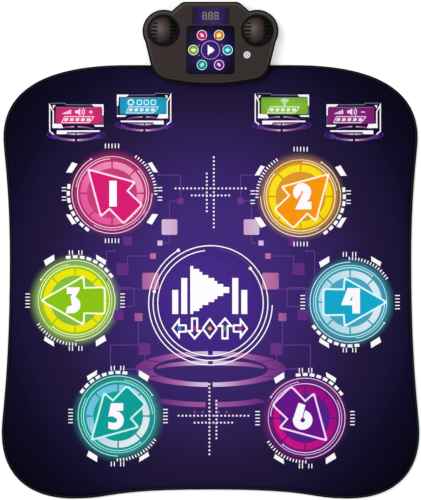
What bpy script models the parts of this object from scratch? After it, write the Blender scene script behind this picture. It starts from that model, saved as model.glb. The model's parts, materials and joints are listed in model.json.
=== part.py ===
"""Light-up dance mat with a clamped-on control console, built piece by piece.

Sizes are in millimetres and are turned into metres when a mesh is made. The mat lies flat on the
XY plane with its top edge towards +Y, and the origin is under the middle of the whole object.
"""

import math

import bmesh
import bpy

MM = 0.001

# General fits
GAP = 0.3  # between two pieces that touch
SLIDE_GAP = 0.4  # round a pad or key that moves through the cover

# Mat outline
MAT_WIDTH = 900.0  # across the flared lower corners
MAT_LENGTH = 933.9  # top edge to the lowest points of the bottom edge
SHOULDER_INSET = 3.7  # how much narrower each shoulder is than the flare
WAIST_INSET = 17.5  # how much narrower each side of the waist is than the flare
FLARE_HEIGHT = 143.1  # widest place, above the bottom edge
WAIST_HEIGHT = 514.2  # narrowest place, above the bottom edge
SHOULDER_DROP = 155.9  # widest place of the shoulder, below the top edge
SHOULDER_ROUND = 269.8  # from the side to where the top edge starts to turn down
LOBE_FROM_SIDE = 154.0  # from the side to the lowest point of the bottom edge
BOTTOM_HOLLOW = 19.5  # depth of the shallow hollow in the bottom edge

# How far the curve leans on its two ends, as shares of the stretch between them
HOLLOW_TO_LOBE = (0.770946, 0.299324)
LOBE_TO_FLARE = (0.511039, 0.753319)
FLARE_TO_WAIST = (0.099165, 0.644031)
WAIST_TO_SHOULDER = (0.611448, 0.124716)
SHOULDER_TO_BROW = (0.595253, 0.717024)

# Mat layers, from the floor up
BASE_THICKNESS = 1.8
CORE_THICKNESS = 3.0
FILM_THICKNESS = 0.3
SPACER_THICKNESS = 4.0
COVER_THICKNESS = 1.2
TAPE_THICKNESS = 0.6  # binding tape, where it lies over and under the hem
TAPE_EDGE = 0.8  # binding tape, round the outside
TAPE_LIP = 5.5  # how far the tape reaches in over the hem
TAPE_LIFT = 0.1  # binding tape, above the floor
HEM_WIDTH = 7.0  # flat hem of the cover, from the outside
RIM_ROLL = 13.0  # how far in the cover's rounded rim reaches from the hem
CORE_INSET = 16.0

# Round pads
PAD_RADIUS = 80.0
START_RADIUS = 116.0
WINDOW_PROUD = 0.2  # how far a pad or key stands above the cover
GUIDE_THICKNESS = 2.2
GUIDE_RIM = 3.0  # how far a light guide or flange reaches under the cover
WELL_GAP = 0.8  # round a light guide in its well
PAD_TRAVEL = 1.2
RING_WIDTH = 7.0
CONTACT_RADIUS = 6.0
CONTACT_HEIGHT = 0.8

# Pad centres, (name, from the nearer side, across which side, up from the mat's reference)
UPPER_PADS_DROP = (276.4, 283.4)  # pads 1 and 2, below the top edge
UPPER_PADS_SIDE = (238.0, 256.0)  # from the left side and from the right side
MIDDLE_PADS_DROP = (40.2, 43.7)  # pads 3 and 4, below the mat's middle
MIDDLE_PADS_SIDE = (158.5, 149.5)
LOWER_PADS_RISE = (178.0, 173.5)  # pads 5 and 6, above the bottom edge
LOWER_PADS_SIDE = (251.0, 246.5)
START_DROP = 45.7  # centre pad, below the mat's middle

# Oblong function keys
KEY_LENGTH = 101.0
KEY_WIDTH = 36.0
KEY_CORNER = 3.0
OUTER_KEYS_SIDE = (167.0, 147.5)
INNER_KEYS_SIDE = (305.5, 290.5)
OUTER_KEYS_DROP = 109.4
INNER_KEYS_DROP = 88.4
FRAME_WIDTH = 6.0

# Light-emitting diodes on the circuit film
LED_SIDE = 5.0
LED_HEIGHT = 0.8
LED_INSET = 16.0  # from a pad's edge to its ring of diodes

# Console outline
CONSOLE_LENGTH = 180.5
CONSOLE_OVERLAP = 44.9  # how far the console reaches over the mat
BROW_HALF = 60.5  # half of the straight top edge, before its corners are rounded
BROW_CORNER = 16.0
BROW_SLOPE = 40.5  # degrees that the edge turns down towards the ear
EAR_RADIUS = 46.0
EAR_ACROSS = 100.5  # ear centre, from the middle
EAR_DROP = 63.0  # ear centre, below the console's top edge
CHEEK_HALF = 128.6  # half width where the side crosses the mat's edge
CHEEK_SLOPE = 13.6  # degrees that the side leans outwards, going up
JAW_RADIUS = 42.0
CHIN_RADIUS = 450.0

# Console heights and walls
SHELL_SPLIT = 11.5  # top of the lower shell
SHELL_TOP = 38.0
SHELL_WALL = 2.2
LOWER_INSET = 1.0  # how far the lower shell lies inside the upper one
LOWER_CHAMFER = 1.2
NOTCH_GAP = 0.8  # between the mat's cut edge and the lower shell
TONGUE_HALF = 95.0  # half width of the mat's tongue that goes into the console
TONGUE_CUT = 20.5  # how far below the mat's top edge the tongue ends

# Steps of the upper shell's outer side: (inset, height below the top)
SHELL_STEPS = (
    (0.0, 17.0),
    (1.5, 14.5),
    (3.0, 13.8),
    (4.0, 13.4),
    (5.0, 4.2),
    (6.2, 1.4),
    (9.0, 0.0),
)

# Case screws and bosses
BOSS_RADIUS = 4.0
SCREW_RADIUS = 1.4
SCREW_HEAD = 2.8
SCREW_HEAD_HEIGHT = 1.4
SCREW_TOP = 15.0
SCREW_HEAD_FLOOR = 0.5
FRONT_BOSS = (70.0, 17.5)  # from the middle, and above the console's bottom edge
REAR_BOSS = (56.0, 18.0)  # from the middle, and below the console's top edge

# Speakers and grilles
GRILLE_OPENING = 31.0
GRILLE_RECESS = 34.7
GRILLE_SEAT_DEPTH = 4.0  # recess, below the console's top
GRILLE_FLANGE = 1.5
DOME_RADIUS = 30.0
DOME_RISE = 4.5
DOME_WALL = 1.6
SLOT_PITCH = 8.1
SLOT_HEIGHT = 3.4
SLOT_REACH = 28.0  # slots end on a circle of this radius
BAND_HALF = 13.0  # solid band down the middle of the grille
SEAT_RING_WIDTH = 6.5
SEAT_RING_DEPTH = 2.5
SPEAKER_DEPTH = 17.0
SPEAKER_RADIUS = 33.5
MAGNET_RADIUS = 16.0

# Display, picture panel and button
DISPLAY_SIZE = (79.0, 35.0)
DISPLAY_DROP = 31.0  # centre, below the console's top edge
DISPLAY_LEDGE = 3.0
DISPLAY_THICKNESS = 1.2
DISPLAY_CORNER = 3.0
MODULE_SIZE = (50.2, 19.0)
PANEL_SIZE = (104.0, 104.5)
PANEL_DROP = 104.5
PANEL_CORNER = 8.0
PANEL_MARGIN = 2.0  # how far the panel window reaches behind its opening
PANEL_THICKNESS = 1.5
BAFFLE_SIDE = 100.0
BAFFLE_RING = 37.0  # circle of the six small lamp wells
BAFFLE_WELL = 9.0
BAFFLE_CENTRE = 16.0
BUTTON_RADIUS = 7.8
BUTTON_ACROSS = 78.5
BUTTON_DROP = 115.0
BUTTON_PROUD = 1.0
BUTTON_TRAVEL = 1.0
BUTTON_FLANGE = 1.7

# Main board
BOARD_THICKNESS = 1.6
BOARD_HALF = 50.0
BOARD_FROM_TOP = 12.0
BOARD_FROM_BOTTOM = 24.5
BOARD_WING = (38.0, 21.0)  # wing under the power button, out from the board and along it
STANDOFF_RADIUS = 2.5
STANDOFF_HEIGHT = 3.7
TAIL_WIDTH = 30.0

# Battery bay
CELL_LENGTH = 50.5
CELL_DIAMETER = 14.5
CELL_SPACING = 0.8  # between two cells
CELL_PITCH = CELL_DIAMETER + CELL_SPACING
CELL_COUNT = 3
CELL_NUB = 1.0
CELL_LIFT = 3.15  # underside of the cells
BAY_DROP = 94.0  # centre, below the console's top edge
BAY_WALL = 1.8
CONTACT_SPACE = 4.5  # from a cell's end to the bay's end wall
PLATE_THICKNESS = 0.4
DOOR_THICKNESS = 1.0
DOOR_LIFT = 0.2
DOOR_LAP = 2.5  # how far the door's rebate reaches past the bay
DOOR_RIB = 1.2
DOOR_CORNER = 1.2
REBATE_CORNER = 1.0
DOOR_LUG = (6.0, 8.5)  # half width and reach of the screw lug
LUG_THICKNESS = 2.6
DOOR_SCREW_TOP = 6.0
PIVOT_INSET = 0.6  # hinge line, in from the door's edge
TAB_HALF = 4.0
TAB_ACROSS = 16.0

# Sides of round pieces
PAD_SIDES = 24
RING_SIDES = 16
GRILLE_SIDES = 24
SMALL_SIDES = 12

# Places worked out from the sizes above
HALF_WIDTH = MAT_WIDTH / 2
CONSOLE_TOP_Y = (MAT_LENGTH + CONSOLE_LENGTH - CONSOLE_OVERLAP) / 2
CONSOLE_BOTTOM_Y = CONSOLE_TOP_Y - CONSOLE_LENGTH
MAT_TOP_Y = CONSOLE_BOTTOM_Y + CONSOLE_OVERLAP
MAT_BOTTOM_Y = MAT_TOP_Y - MAT_LENGTH
MAT_MIDDLE_Y = (MAT_TOP_Y + MAT_BOTTOM_Y) / 2

CORE_FLOOR = BASE_THICKNESS + GAP
FILM_FLOOR = CORE_FLOOR + CORE_THICKNESS + GAP
FILM_TOP = FILM_FLOOR + FILM_THICKNESS
SPACER_FLOOR = FILM_TOP + GAP
SPACER_TOP = SPACER_FLOOR + SPACER_THICKNESS
COVER_FLOOR = SPACER_TOP + GAP
COVER_TOP = COVER_FLOOR + COVER_THICKNESS
HEM_FLOOR = BASE_THICKNESS + GAP
HEM_TOP = HEM_FLOOR + COVER_THICKNESS
BINDING_TOP = HEM_TOP + GAP + TAPE_THICKNESS
LAYER_EDGE = TAPE_EDGE + GAP
FOAM_INSET = HEM_WIDTH + RIM_ROLL + COVER_THICKNESS + GAP

WINDOW_TOP = COVER_TOP + WINDOW_PROUD
GUIDE_TOP = SPACER_TOP
GUIDE_FLOOR = GUIDE_TOP - GUIDE_THICKNESS
RING_FLOOR = SPACER_FLOOR
RING_TOP = GUIDE_FLOOR - GAP

EAR_Y = CONSOLE_TOP_Y - EAR_DROP
LEDGE_TOP = FILM_FLOOR - GAP
LEDGE_BACK_Y = MAT_TOP_Y - TONGUE_CUT + 4.0
SPLIT_TOP = SHELL_SPLIT + GAP
ROOF = SHELL_TOP - SHELL_WALL
SEAT_TOP = SHELL_TOP - GRILLE_SEAT_DEPTH
SEAT_FLOOR = SEAT_TOP - SEAT_RING_DEPTH
DISPLAY_Y = CONSOLE_TOP_Y - DISPLAY_DROP
PANEL_Y = CONSOLE_TOP_Y - PANEL_DROP
BUTTON_Y = CONSOLE_TOP_Y - BUTTON_DROP
FRONT_BOSS_Y = CONSOLE_BOTTOM_Y + FRONT_BOSS[1]
REAR_BOSS_Y = CONSOLE_TOP_Y - REAR_BOSS[1]

BAY_Y = CONSOLE_TOP_Y - BAY_DROP
BAY_HALF_X = CELL_LENGTH / 2 + CONTACT_SPACE
BAY_HALF_Y = CELL_COUNT * CELL_PITCH / 2 + 0.4
BAY_ROOF_FLOOR = CELL_LIFT + CELL_DIAMETER + 0.6
BAY_TOP = BAY_ROOF_FLOOR + BAY_WALL
CELL_Z = CELL_LIFT + CELL_DIAMETER / 2
BOARD_FLOOR = BAY_TOP + STANDOFF_HEIGHT + GAP
BOARD_TOP = BOARD_FLOOR + BOARD_THICKNESS
DOOR_TOP = DOOR_LIFT + DOOR_THICKNESS
REBATE_TOP = DOOR_TOP + GAP
PIVOT_Y = BAY_Y + BAY_HALF_Y + DOOR_LAP - GAP - PIVOT_INSET
PIVOT_Z = DOOR_LIFT + DOOR_THICKNESS / 2
LUG_SCREW_Y = BAY_Y - BAY_HALF_Y - DOOR_LUG[1] + 4.0
LUG_TOP = DOOR_LIFT + LUG_THICKNESS
DOOR_SCREW_FLOOR = DOOR_LIFT + 0.2

PADS = {
    "pad_1": (-HALF_WIDTH + UPPER_PADS_SIDE[0], MAT_TOP_Y - UPPER_PADS_DROP[0], PAD_RADIUS),
    "pad_2": (HALF_WIDTH - UPPER_PADS_SIDE[1], MAT_TOP_Y - UPPER_PADS_DROP[1], PAD_RADIUS),
    "pad_3": (-HALF_WIDTH + MIDDLE_PADS_SIDE[0], MAT_MIDDLE_Y - MIDDLE_PADS_DROP[0], PAD_RADIUS),
    "pad_4": (HALF_WIDTH - MIDDLE_PADS_SIDE[1], MAT_MIDDLE_Y - MIDDLE_PADS_DROP[1], PAD_RADIUS),
    "pad_5": (-HALF_WIDTH + LOWER_PADS_SIDE[0], MAT_BOTTOM_Y + LOWER_PADS_RISE[0], PAD_RADIUS),
    "pad_6": (HALF_WIDTH - LOWER_PADS_SIDE[1], MAT_BOTTOM_Y + LOWER_PADS_RISE[1], PAD_RADIUS),
    "start": (0.0, MAT_MIDDLE_Y - START_DROP, START_RADIUS),
}
KEYS = {
    "volume_up": (-HALF_WIDTH + OUTER_KEYS_SIDE[0], MAT_TOP_Y - OUTER_KEYS_DROP),
    "mode": (-HALF_WIDTH + INNER_KEYS_SIDE[0], MAT_TOP_Y - INNER_KEYS_DROP),
    "wireless": (HALF_WIDTH - INNER_KEYS_SIDE[1], MAT_TOP_Y - INNER_KEYS_DROP),
    "volume_down": (HALF_WIDTH - OUTER_KEYS_SIDE[1], MAT_TOP_Y - OUTER_KEYS_DROP),
}
PAD_COLOURS = {
    "pad_1": "D52673",
    "pad_2": "F0A014",
    "pad_3": "94C328",
    "pad_4": "14AAC8",
    "pad_5": "12A29C",
    "pad_6": "8A2490",
    "start": "472A87",
}
KEY_COLOURS = {
    "volume_up": "DC2878",
    "mode": "19A0B9",
    "wireless": "78B928",
    "volume_down": "821E82",
}


def linear(hex_colour):
    """The linear red, green and blue of an sRGB hex colour."""
    channels = [int(hex_colour[i : i + 2], 16) / 255 for i in (0, 2, 4)]
    return [c / 12.92 if c <= 0.04045 else ((c + 0.055) / 1.055) ** 2.4 for c in channels]


def finish(name, hex_colour, roughness, metallic=0.0):
    """A material of one colour."""
    material = bpy.data.materials.get(name) or bpy.data.materials.new(name)
    material.use_nodes = True
    shader = material.node_tree.nodes["Principled BSDF"]
    shader.inputs["Base Color"].default_value = (*linear(hex_colour), 1.0)
    shader.inputs["Roughness"].default_value = roughness
    shader.inputs["Metallic"].default_value = metallic
    return material


def add_object(name, shape, material, place=(0.0, 0.0, 0.0)):
    """An object made from a bmesh, shaded smooth between its sharp edges."""
    mesh = bpy.data.meshes.new(name)
    bmesh.ops.recalc_face_normals(shape, faces=shape.faces)
    shape.to_mesh(mesh)
    shape.free()
    mesh.shade_smooth()
    mesh.set_sharp_from_angle(angle=math.radians(25))
    mesh.materials.append(material)
    obj = bpy.data.objects.new(name, mesh)
    obj.location = [length * MM for length in place]
    bpy.context.scene.collection.objects.link(obj)
    return obj


def add_cutter(name, shape, place=(0.0, 0.0, 0.0)):
    """A helper that only cuts or joins, and isn't a piece of the object."""
    cutter = add_object(name, shape, finish("cutter", "808080", 0.5), place)
    cutter.hide_render = True
    cutter.display_type = "WIRE"
    return cutter


def combine(target, other, operation):
    """Cuts other from target, or joins it on, by operation."""
    modifier = target.modifiers.new(other.name, "BOOLEAN")
    modifier.operation = operation
    modifier.solver = "EXACT"
    modifier.object = other


def loft(rings, shape=None, closed=False):
    """A solid through rings of points, (points, height), from its underside round to its top.

    The rings run anticlockwise and hold as many points each. A closed loft joins the last ring to
    the first, and an open one gets a face at each end.
    """
    shape = shape or bmesh.new()
    loops = []
    for points, height in rings:
        loops.append([shape.verts.new((x * MM, y * MM, height * MM)) for x, y in points])
    following = loops[1:] + loops[:1] if closed else loops[1:]
    for lower, upper in zip(loops, following):
        for i in range(len(lower)):
            j = (i + 1) % len(lower)
            shape.faces.new((lower[i], lower[j], upper[j], upper[i]))
    if not closed:
        shape.faces.new(loops[0][::-1])
        shape.faces.new(loops[-1])
    return shape


def circle(radius, sides, x=0.0, y=0.0):
    """Points of a circle, anticlockwise."""
    steps = [math.tau * i / sides for i in range(sides)]
    return [(x + radius * math.cos(a), y + radius * math.sin(a)) for a in steps]


def rectangle(length, width, x=0.0, y=0.0):
    """Corners of a rectangle, anticlockwise."""
    return [
        (x - length / 2, y - width / 2),
        (x + length / 2, y - width / 2),
        (x + length / 2, y + width / 2),
        (x - length / 2, y + width / 2),
    ]


def rounded(length, width, radius, x=0.0, y=0.0, steps=2):
    """Points of a rectangle with round corners, anticlockwise."""
    points = []
    for corner, (sx, sy) in enumerate(((1, 1), (-1, 1), (-1, -1), (1, -1))):
        for i in range(steps + 1):
            angle = math.pi / 2 * (corner + i / steps)
            px = x + sx * (length / 2 - radius) + radius * math.cos(angle)
            py = y + sy * (width / 2 - radius) + radius * math.sin(angle)
            points.append((px, py))
    return points


def turned(profile, sides, shape=None, x=0.0, y=0.0):
    """A solid of revolution round a vertical axis, from a profile of (radius, height).

    The profile runs from the axis at the underside, outwards and up to the axis at the top.
    """
    shape = shape or bmesh.new()
    rings = [(circle(radius, sides, x, y), height) for radius, height in profile if radius > 0]
    loops = []
    for points, height in rings:
        loops.append([shape.verts.new((px * MM, py * MM, height * MM)) for px, py in points])
    for lower, upper in zip(loops, loops[1:]):
        for i in range(sides):
            j = (i + 1) % sides
            shape.faces.new((lower[i], lower[j], upper[j], upper[i]))
    shape.faces.new(loops[0][::-1])
    shape.faces.new(loops[-1])
    return shape


def block(low, high, shape=None):
    """A box between two corners."""
    middle = ((low[0] + high[0]) / 2, (low[1] + high[1]) / 2)
    outline = rectangle(high[0] - low[0], high[1] - low[1], *middle)
    return loft([(outline, low[2]), (outline, high[2])], shape)


def bezier(start, leave, arrive, end, steps):
    """Points and outward directions along a cubic curve, without its end point."""
    found = []
    for i in range(steps):
        t = i / steps
        s = 1 - t
        point = []
        slope = []
        for a, b, c, d in zip(start, leave, arrive, end):
            point.append(s**3 * a + 3 * s * s * t * b + 3 * s * t * t * c + t**3 * d)
            slope.append(3 * s * s * (b - a) + 6 * s * t * (c - b) + 3 * t * t * (d - c))
        size = math.hypot(*slope)
        found.append((point, (slope[1] / size, -slope[0] / size)))
    return found


def right_side_of_mat():
    """The mat's outline from the bottom middle up the right side to the top middle."""
    bottom = (0.0, MAT_BOTTOM_Y + BOTTOM_HOLLOW)
    lobe = (HALF_WIDTH - LOBE_FROM_SIDE, MAT_BOTTOM_Y)
    flare = (HALF_WIDTH, MAT_BOTTOM_Y + FLARE_HEIGHT)
    waist = (HALF_WIDTH - WAIST_INSET, MAT_BOTTOM_Y + WAIST_HEIGHT)
    shoulder = (HALF_WIDTH - SHOULDER_INSET, MAT_TOP_Y - SHOULDER_DROP)
    brow = (HALF_WIDTH - SHOULDER_ROUND, MAT_TOP_Y)
    top = (0.0, MAT_TOP_Y)
    along = []
    lean = [share * lobe[0] for share in HOLLOW_TO_LOBE]
    along += bezier(bottom, (lean[0], bottom[1]), (lobe[0] - lean[1], lobe[1]), lobe, 4)
    lean = (LOBE_TO_FLARE[0] * LOBE_FROM_SIDE, LOBE_TO_FLARE[1] * FLARE_HEIGHT)
    along += bezier(lobe, (lobe[0] + lean[0], lobe[1]), (flare[0], flare[1] - lean[1]), flare, 8)
    lean = [share * (waist[1] - flare[1]) for share in FLARE_TO_WAIST]
    along += bezier(flare, (flare[0], flare[1] + lean[0]), (waist[0], waist[1] - lean[1]), waist, 4)
    lean = [share * (shoulder[1] - waist[1]) for share in WAIST_TO_SHOULDER]
    near = (shoulder[0], shoulder[1] - lean[1])
    along += bezier(waist, (waist[0], waist[1] + lean[0]), near, shoulder, 4)
    lean = SHOULDER_TO_BROW[0] * SHOULDER_DROP
    near = (brow[0] + SHOULDER_TO_BROW[1] * (shoulder[0] - brow[0]), brow[1])
    along += bezier(shoulder, (shoulder[0], shoulder[1] + lean), near, brow, 9)
    along += bezier(brow, (brow[0] / 2, top[1]), (brow[0] / 2, top[1]), top, 1)
    along.append((top, (0.0, 1.0)))
    return along


def mat_outline(inset):
    """The mat's outline drawn in by inset, anticlockwise."""
    right = [(p[0] - inset * n[0], p[1] - inset * n[1]) for p, n in right_side_of_mat()]
    left = [(-x, y) for x, y in right[-2:0:-1]]
    return right + left


def arc(centre, radius, start, end, steps):
    """Points along an arc, both ends included. Angles are in radians."""
    points = []
    for i in range(steps + 1):
        angle = start + (end - start) * i / steps
        points.append((centre[0] + radius * math.cos(angle), centre[1] + radius * math.sin(angle)))
    return points


def meet_circle(point, direction, centre, radius, far):
    """Where a line through point meets a circle, at its nearer or farther crossing."""
    to_x = point[0] - centre[0]
    to_y = point[1] - centre[1]
    half = to_x * direction[0] + to_y * direction[1]
    root = math.sqrt(half * half - (to_x * to_x + to_y * to_y - radius * radius))
    along = -half + root if far else -half - root
    return (point[0] + along * direction[0], point[1] + along * direction[1])


def angle_at(centre, point):
    return math.atan2(point[1] - centre[1], point[0] - centre[0])


def console_outline(inset):
    """The console's outline drawn in by inset, anticlockwise from the middle of the chin."""
    chin = (0.0, CONSOLE_BOTTOM_Y + CHIN_RADIUS)
    lean = math.radians(CHEEK_SLOPE)
    up = (math.sin(lean), math.cos(lean))
    inward = (-up[1], up[0])
    cheek = (CHEEK_HALF + inset * inward[0], MAT_TOP_Y + inset * inward[1])
    on_jaw = (CHEEK_HALF + JAW_RADIUS * inward[0], MAT_TOP_Y + JAW_RADIUS * inward[1])
    jaw = meet_circle(on_jaw, up, chin, CHIN_RADIUS - JAW_RADIUS, False)
    ear = (EAR_ACROSS, EAR_Y)
    fall = math.radians(BROW_SLOPE)
    down = (math.cos(fall), -math.sin(fall))
    below = (-down[1] * -1, -down[0])
    brow_corner = BROW_CORNER / math.cos(fall / 2)
    reach = BROW_HALF - BROW_CORNER * math.tan(fall / 2)
    brow = (reach, CONSOLE_TOP_Y - BROW_CORNER)
    slope_point = (
        brow[0] + (BROW_CORNER - inset) * math.sin(fall),
        brow[1] + (BROW_CORNER - inset) * math.cos(fall),
    )
    ear_low = meet_circle(cheek, up, ear, EAR_RADIUS - inset, False)
    ear_high = meet_circle(slope_point, down, ear, EAR_RADIUS - inset, False)
    chin_end = angle_at(chin, jaw)
    low_angle = angle_at(ear, ear_low)
    high_angle = angle_at(ear, ear_high)
    right = arc(chin, CHIN_RADIUS - inset, -math.pi / 2, chin_end, 4)
    right += arc(jaw, JAW_RADIUS - inset, chin_end, -lean, 5)[1:]
    right += arc(ear, EAR_RADIUS - inset, low_angle, high_angle, 12)
    right += arc(brow, BROW_CORNER - inset, math.pi / 2 - fall, math.pi / 2, 3)
    left = [(-x, y) for x, y in right[:0:-1]]
    return right + left


def add_notch(name, with_tongue):
    """Cuts the mat clear of the console's lower shell. A tongue of the mat can stay inside it."""
    outline = console_outline(LOWER_INSET - NOTCH_GAP)
    notch = add_cutter(name, loft([(outline, -5.0), (outline, COVER_TOP + 5.0)]))
    if with_tongue:
        low = (-TONGUE_HALF, CONSOLE_BOTTOM_Y - 20.0, -10.0)
        high = (TONGUE_HALF, MAT_TOP_Y - TONGUE_CUT, COVER_TOP + 10.0)
        combine(notch, add_cutter(name + "_tongue", block(low, high)), "DIFFERENCE")
    return notch


def add_boss_holes(name):
    """Holes in the mat's tongue for the console's front screw bosses."""
    shape = bmesh.new()
    for side in (-1, 1):
        hole = circle(BOSS_RADIUS + 0.6, SMALL_SIDES, side * FRONT_BOSS[0], FRONT_BOSS_Y)
        loft([(hole, FILM_FLOOR - 2.0), (hole, COVER_TOP + 2.0)], shape)
    return add_cutter(name, shape)


def add_openings(name, round_more, key_more, floor, top):
    """Cuts for every pad and key, larger than the pad or key by the two allowances."""
    shape = bmesh.new()
    for x, y, radius in PADS.values():
        hole = circle(radius + round_more, PAD_SIDES, x, y)
        loft([(hole, floor), (hole, top)], shape)
    for x, y in KEYS.values():
        size = (KEY_LENGTH + 2 * key_more, KEY_WIDTH + 2 * key_more)
        hole = rounded(*size, KEY_CORNER + key_more, x, y)
        loft([(hole, floor), (hole, top)], shape)
    return add_cutter(name, shape)


def build_base():
    """Anti-slip sheet, with a rebate along its edge for the binding tape."""
    rebate = TAPE_LIFT + TAPE_THICKNESS + GAP
    inner = TAPE_LIP + GAP
    rings = [
        (mat_outline(inner), 0.0),
        (mat_outline(inner), rebate),
        (mat_outline(LAYER_EDGE), rebate),
        (mat_outline(LAYER_EDGE), BASE_THICKNESS),
    ]
    base = add_object("anti_slip_base", loft(rings), finish("dotted_rubber", "1A1A1E", 0.9))
    combine(base, bpy.data.objects["notch"], "DIFFERENCE")


def build_core():
    outline = mat_outline(CORE_INSET)
    rings = [(outline, CORE_FLOOR), (outline, CORE_FLOOR + CORE_THICKNESS)]
    core = add_object("foam_core", loft(rings), finish("closed_cell_foam", "2A2A30", 0.95))
    combine(core, bpy.data.objects["notch"], "DIFFERENCE")


def build_film():
    """Circuit film with its diodes, and the tail that rises to the main board."""
    outline = mat_outline(FOAM_INSET)
    rings = [(outline, FILM_FLOOR), (outline, FILM_TOP)]
    film = add_object("circuit_film", loft(rings), finish("polyester_film", "B8A060", 0.4))
    combine(film, bpy.data.objects["tongue_notch"], "DIFFERENCE")
    combine(film, bpy.data.objects["boss_holes"], "DIFFERENCE")
    diodes = bmesh.new()
    for x, y, radius in PADS.values():
        count = 8 if radius > PAD_RADIUS else 4
        for px, py in circle(radius - LED_INSET, count, x, y):
            add_diode(px, py, diodes)
    for x, y in KEYS.values():
        for side in (-1, 1):
            add_diode(x + side * KEY_LENGTH / 4, y, diodes)
    combine(film, add_cutter("diodes", diodes), "UNION")
    combine(film, add_cutter("film_tail", tail_shape()), "UNION")


def add_diode(x, y, shape):
    low = (x - LED_SIDE / 2, y - LED_SIDE / 2, FILM_FLOOR + 0.1)
    high = (x + LED_SIDE / 2, y + LED_SIDE / 2, FILM_TOP + LED_HEIGHT)
    block(low, high, shape)


def tail_shape():
    """A ribbon that leaves the film flat and bends up to the underside of the main board."""
    start = MAT_TOP_Y - TONGUE_CUT - 6.0
    radius = 9.0
    bend = (LEDGE_BACK_Y + 6.0, FILM_FLOOR + 0.05 + radius)
    route = [(start, bend[1] - radius)]
    route += arc(bend, radius, -math.pi / 2, 0.0, 4)
    route.append((bend[0] + radius, BOARD_FLOOR - 4.0))
    shape = bmesh.new()
    half = TAIL_WIDTH / 2
    thick = 0.2
    loops = []
    for i, (y, z) in enumerate(route):
        before = route[max(i - 1, 0)]
        after = route[min(i + 1, len(route) - 1)]
        size = math.hypot(after[0] - before[0], after[1] - before[1])
        across = (-(after[1] - before[1]) / size * thick, (after[0] - before[0]) / size * thick)
        corners = (
            (-half, y, z),
            (half, y, z),
            (half, y + across[0], z + across[1]),
            (-half, y + across[0], z + across[1]),
        )
        loops.append([shape.verts.new([c * MM for c in corner]) for corner in corners])
    for lower, upper in zip(loops, loops[1:]):
        for i in range(4):
            j = (i + 1) % 4
            shape.faces.new((lower[i], lower[j], upper[j], upper[i]))
    shape.faces.new(loops[0][::-1])
    shape.faces.new(loops[-1])
    return shape


def build_spacer():
    """Foam that holds the cover up, with a well for each pad and key."""
    outline = mat_outline(FOAM_INSET)
    rings = [(outline, SPACER_FLOOR), (outline, SPACER_TOP)]
    spacer = add_object("spacer_foam", loft(rings), finish("open_cell_foam", "3A3A44", 0.95))
    combine(spacer, bpy.data.objects["tongue_notch"], "DIFFERENCE")
    combine(spacer, bpy.data.objects["boss_holes"], "DIFFERENCE")
    more = GUIDE_RIM + WELL_GAP
    wells = add_openings("wells", more, more, SPACER_FLOOR - 1.0, SPACER_TOP + 1.0)
    combine(spacer, wells, "DIFFERENCE")


def build_cover():
    """Printed cover, with its rolled rim, flat hem and openings for pads and keys."""
    turn = [math.radians(a) for a in (0, 45, 90)]
    under = []
    over = []
    for a in turn:
        inward = RIM_ROLL * (1 - math.cos(a))
        rise = (COVER_TOP - HEM_TOP) * math.sin(a)
        under.append((mat_outline(HEM_WIDTH + COVER_THICKNESS + inward), HEM_FLOOR + rise))
        over.append((mat_outline(HEM_WIDTH + inward), HEM_TOP + rise))
    edge = mat_outline(LAYER_EDGE)
    rings = under[::-1] + [(edge, HEM_FLOOR), (edge, HEM_TOP)] + over
    cover = add_object("cover_sheet", loft(rings), finish("printed_fabric", "2A1C5A", 0.6))
    combine(cover, bpy.data.objects["tongue_notch"], "DIFFERENCE")
    combine(cover, bpy.data.objects["boss_holes"], "DIFFERENCE")
    more = SLIDE_GAP
    openings = add_openings("openings", more, more, COVER_FLOOR - 2.0, COVER_TOP + 2.0)
    combine(cover, openings, "DIFFERENCE")


def build_binding():
    """Tape folded over the mat's edge. It stops where the console covers the edge."""
    wall = TAPE_EDGE
    tape = TAPE_THICKNESS
    profile = [
        (0.0, TAPE_LIFT),
        (0.0, BINDING_TOP),
        (TAPE_LIP, BINDING_TOP),
        (TAPE_LIP, BINDING_TOP - tape),
        (wall, BINDING_TOP - tape),
        (wall, TAPE_LIFT + tape),
        (TAPE_LIP, TAPE_LIFT + tape),
        (TAPE_LIP, TAPE_LIFT),
    ]
    rings = [(mat_outline(inset), height) for inset, height in profile]
    shape = loft(rings, closed=True)
    binding = add_object("edge_binding", shape, finish("binding_tape", "08060F", 0.8))
    combine(binding, bpy.data.objects["notch"], "DIFFERENCE")


def build_mat():
    add_notch("notch", False)
    add_notch("tongue_notch", True)
    add_boss_holes("boss_holes")
    build_base()
    build_core()
    build_film()
    build_spacer()
    build_cover()
    build_binding()


def build_pad(name, x, y, radius):
    """Window, light guide with its contact stud, and foam return ring of one round pad."""
    place = (x, y, 0.0)
    outline = circle(radius, PAD_SIDES)
    rings = [(outline, COVER_FLOOR), (outline, WINDOW_TOP)]
    add_object(name + "_window", loft(rings), finish(name + "_print", PAD_COLOURS[name], 0.4), place)
    outline = circle(radius + GUIDE_RIM, PAD_SIDES)
    rings = [(outline, GUIDE_FLOOR), (outline, GUIDE_TOP)]
    acrylic = finish("milky_acrylic", "E8E8F0", 0.3)
    guide = add_object(name + "_light_guide", loft(rings), acrylic, place)
    stud = circle(CONTACT_RADIUS, 8)
    rings = [(stud, GUIDE_FLOOR - CONTACT_HEIGHT), (stud, GUIDE_FLOOR + GUIDE_THICKNESS / 2)]
    combine(guide, add_cutter(name + "_stud", loft(rings), place), "UNION")
    outer = circle(radius + GUIDE_RIM - 1.0, RING_SIDES)
    inner = circle(radius + GUIDE_RIM - 1.0 - RING_WIDTH, RING_SIDES)
    rings = [(outer, RING_FLOOR), (outer, RING_TOP), (inner, RING_TOP), (inner, RING_FLOOR)]
    foam = finish("return_foam", "303038", 0.95)
    add_object(name + "_return_ring", loft(rings, closed=True), foam, place)


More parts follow.
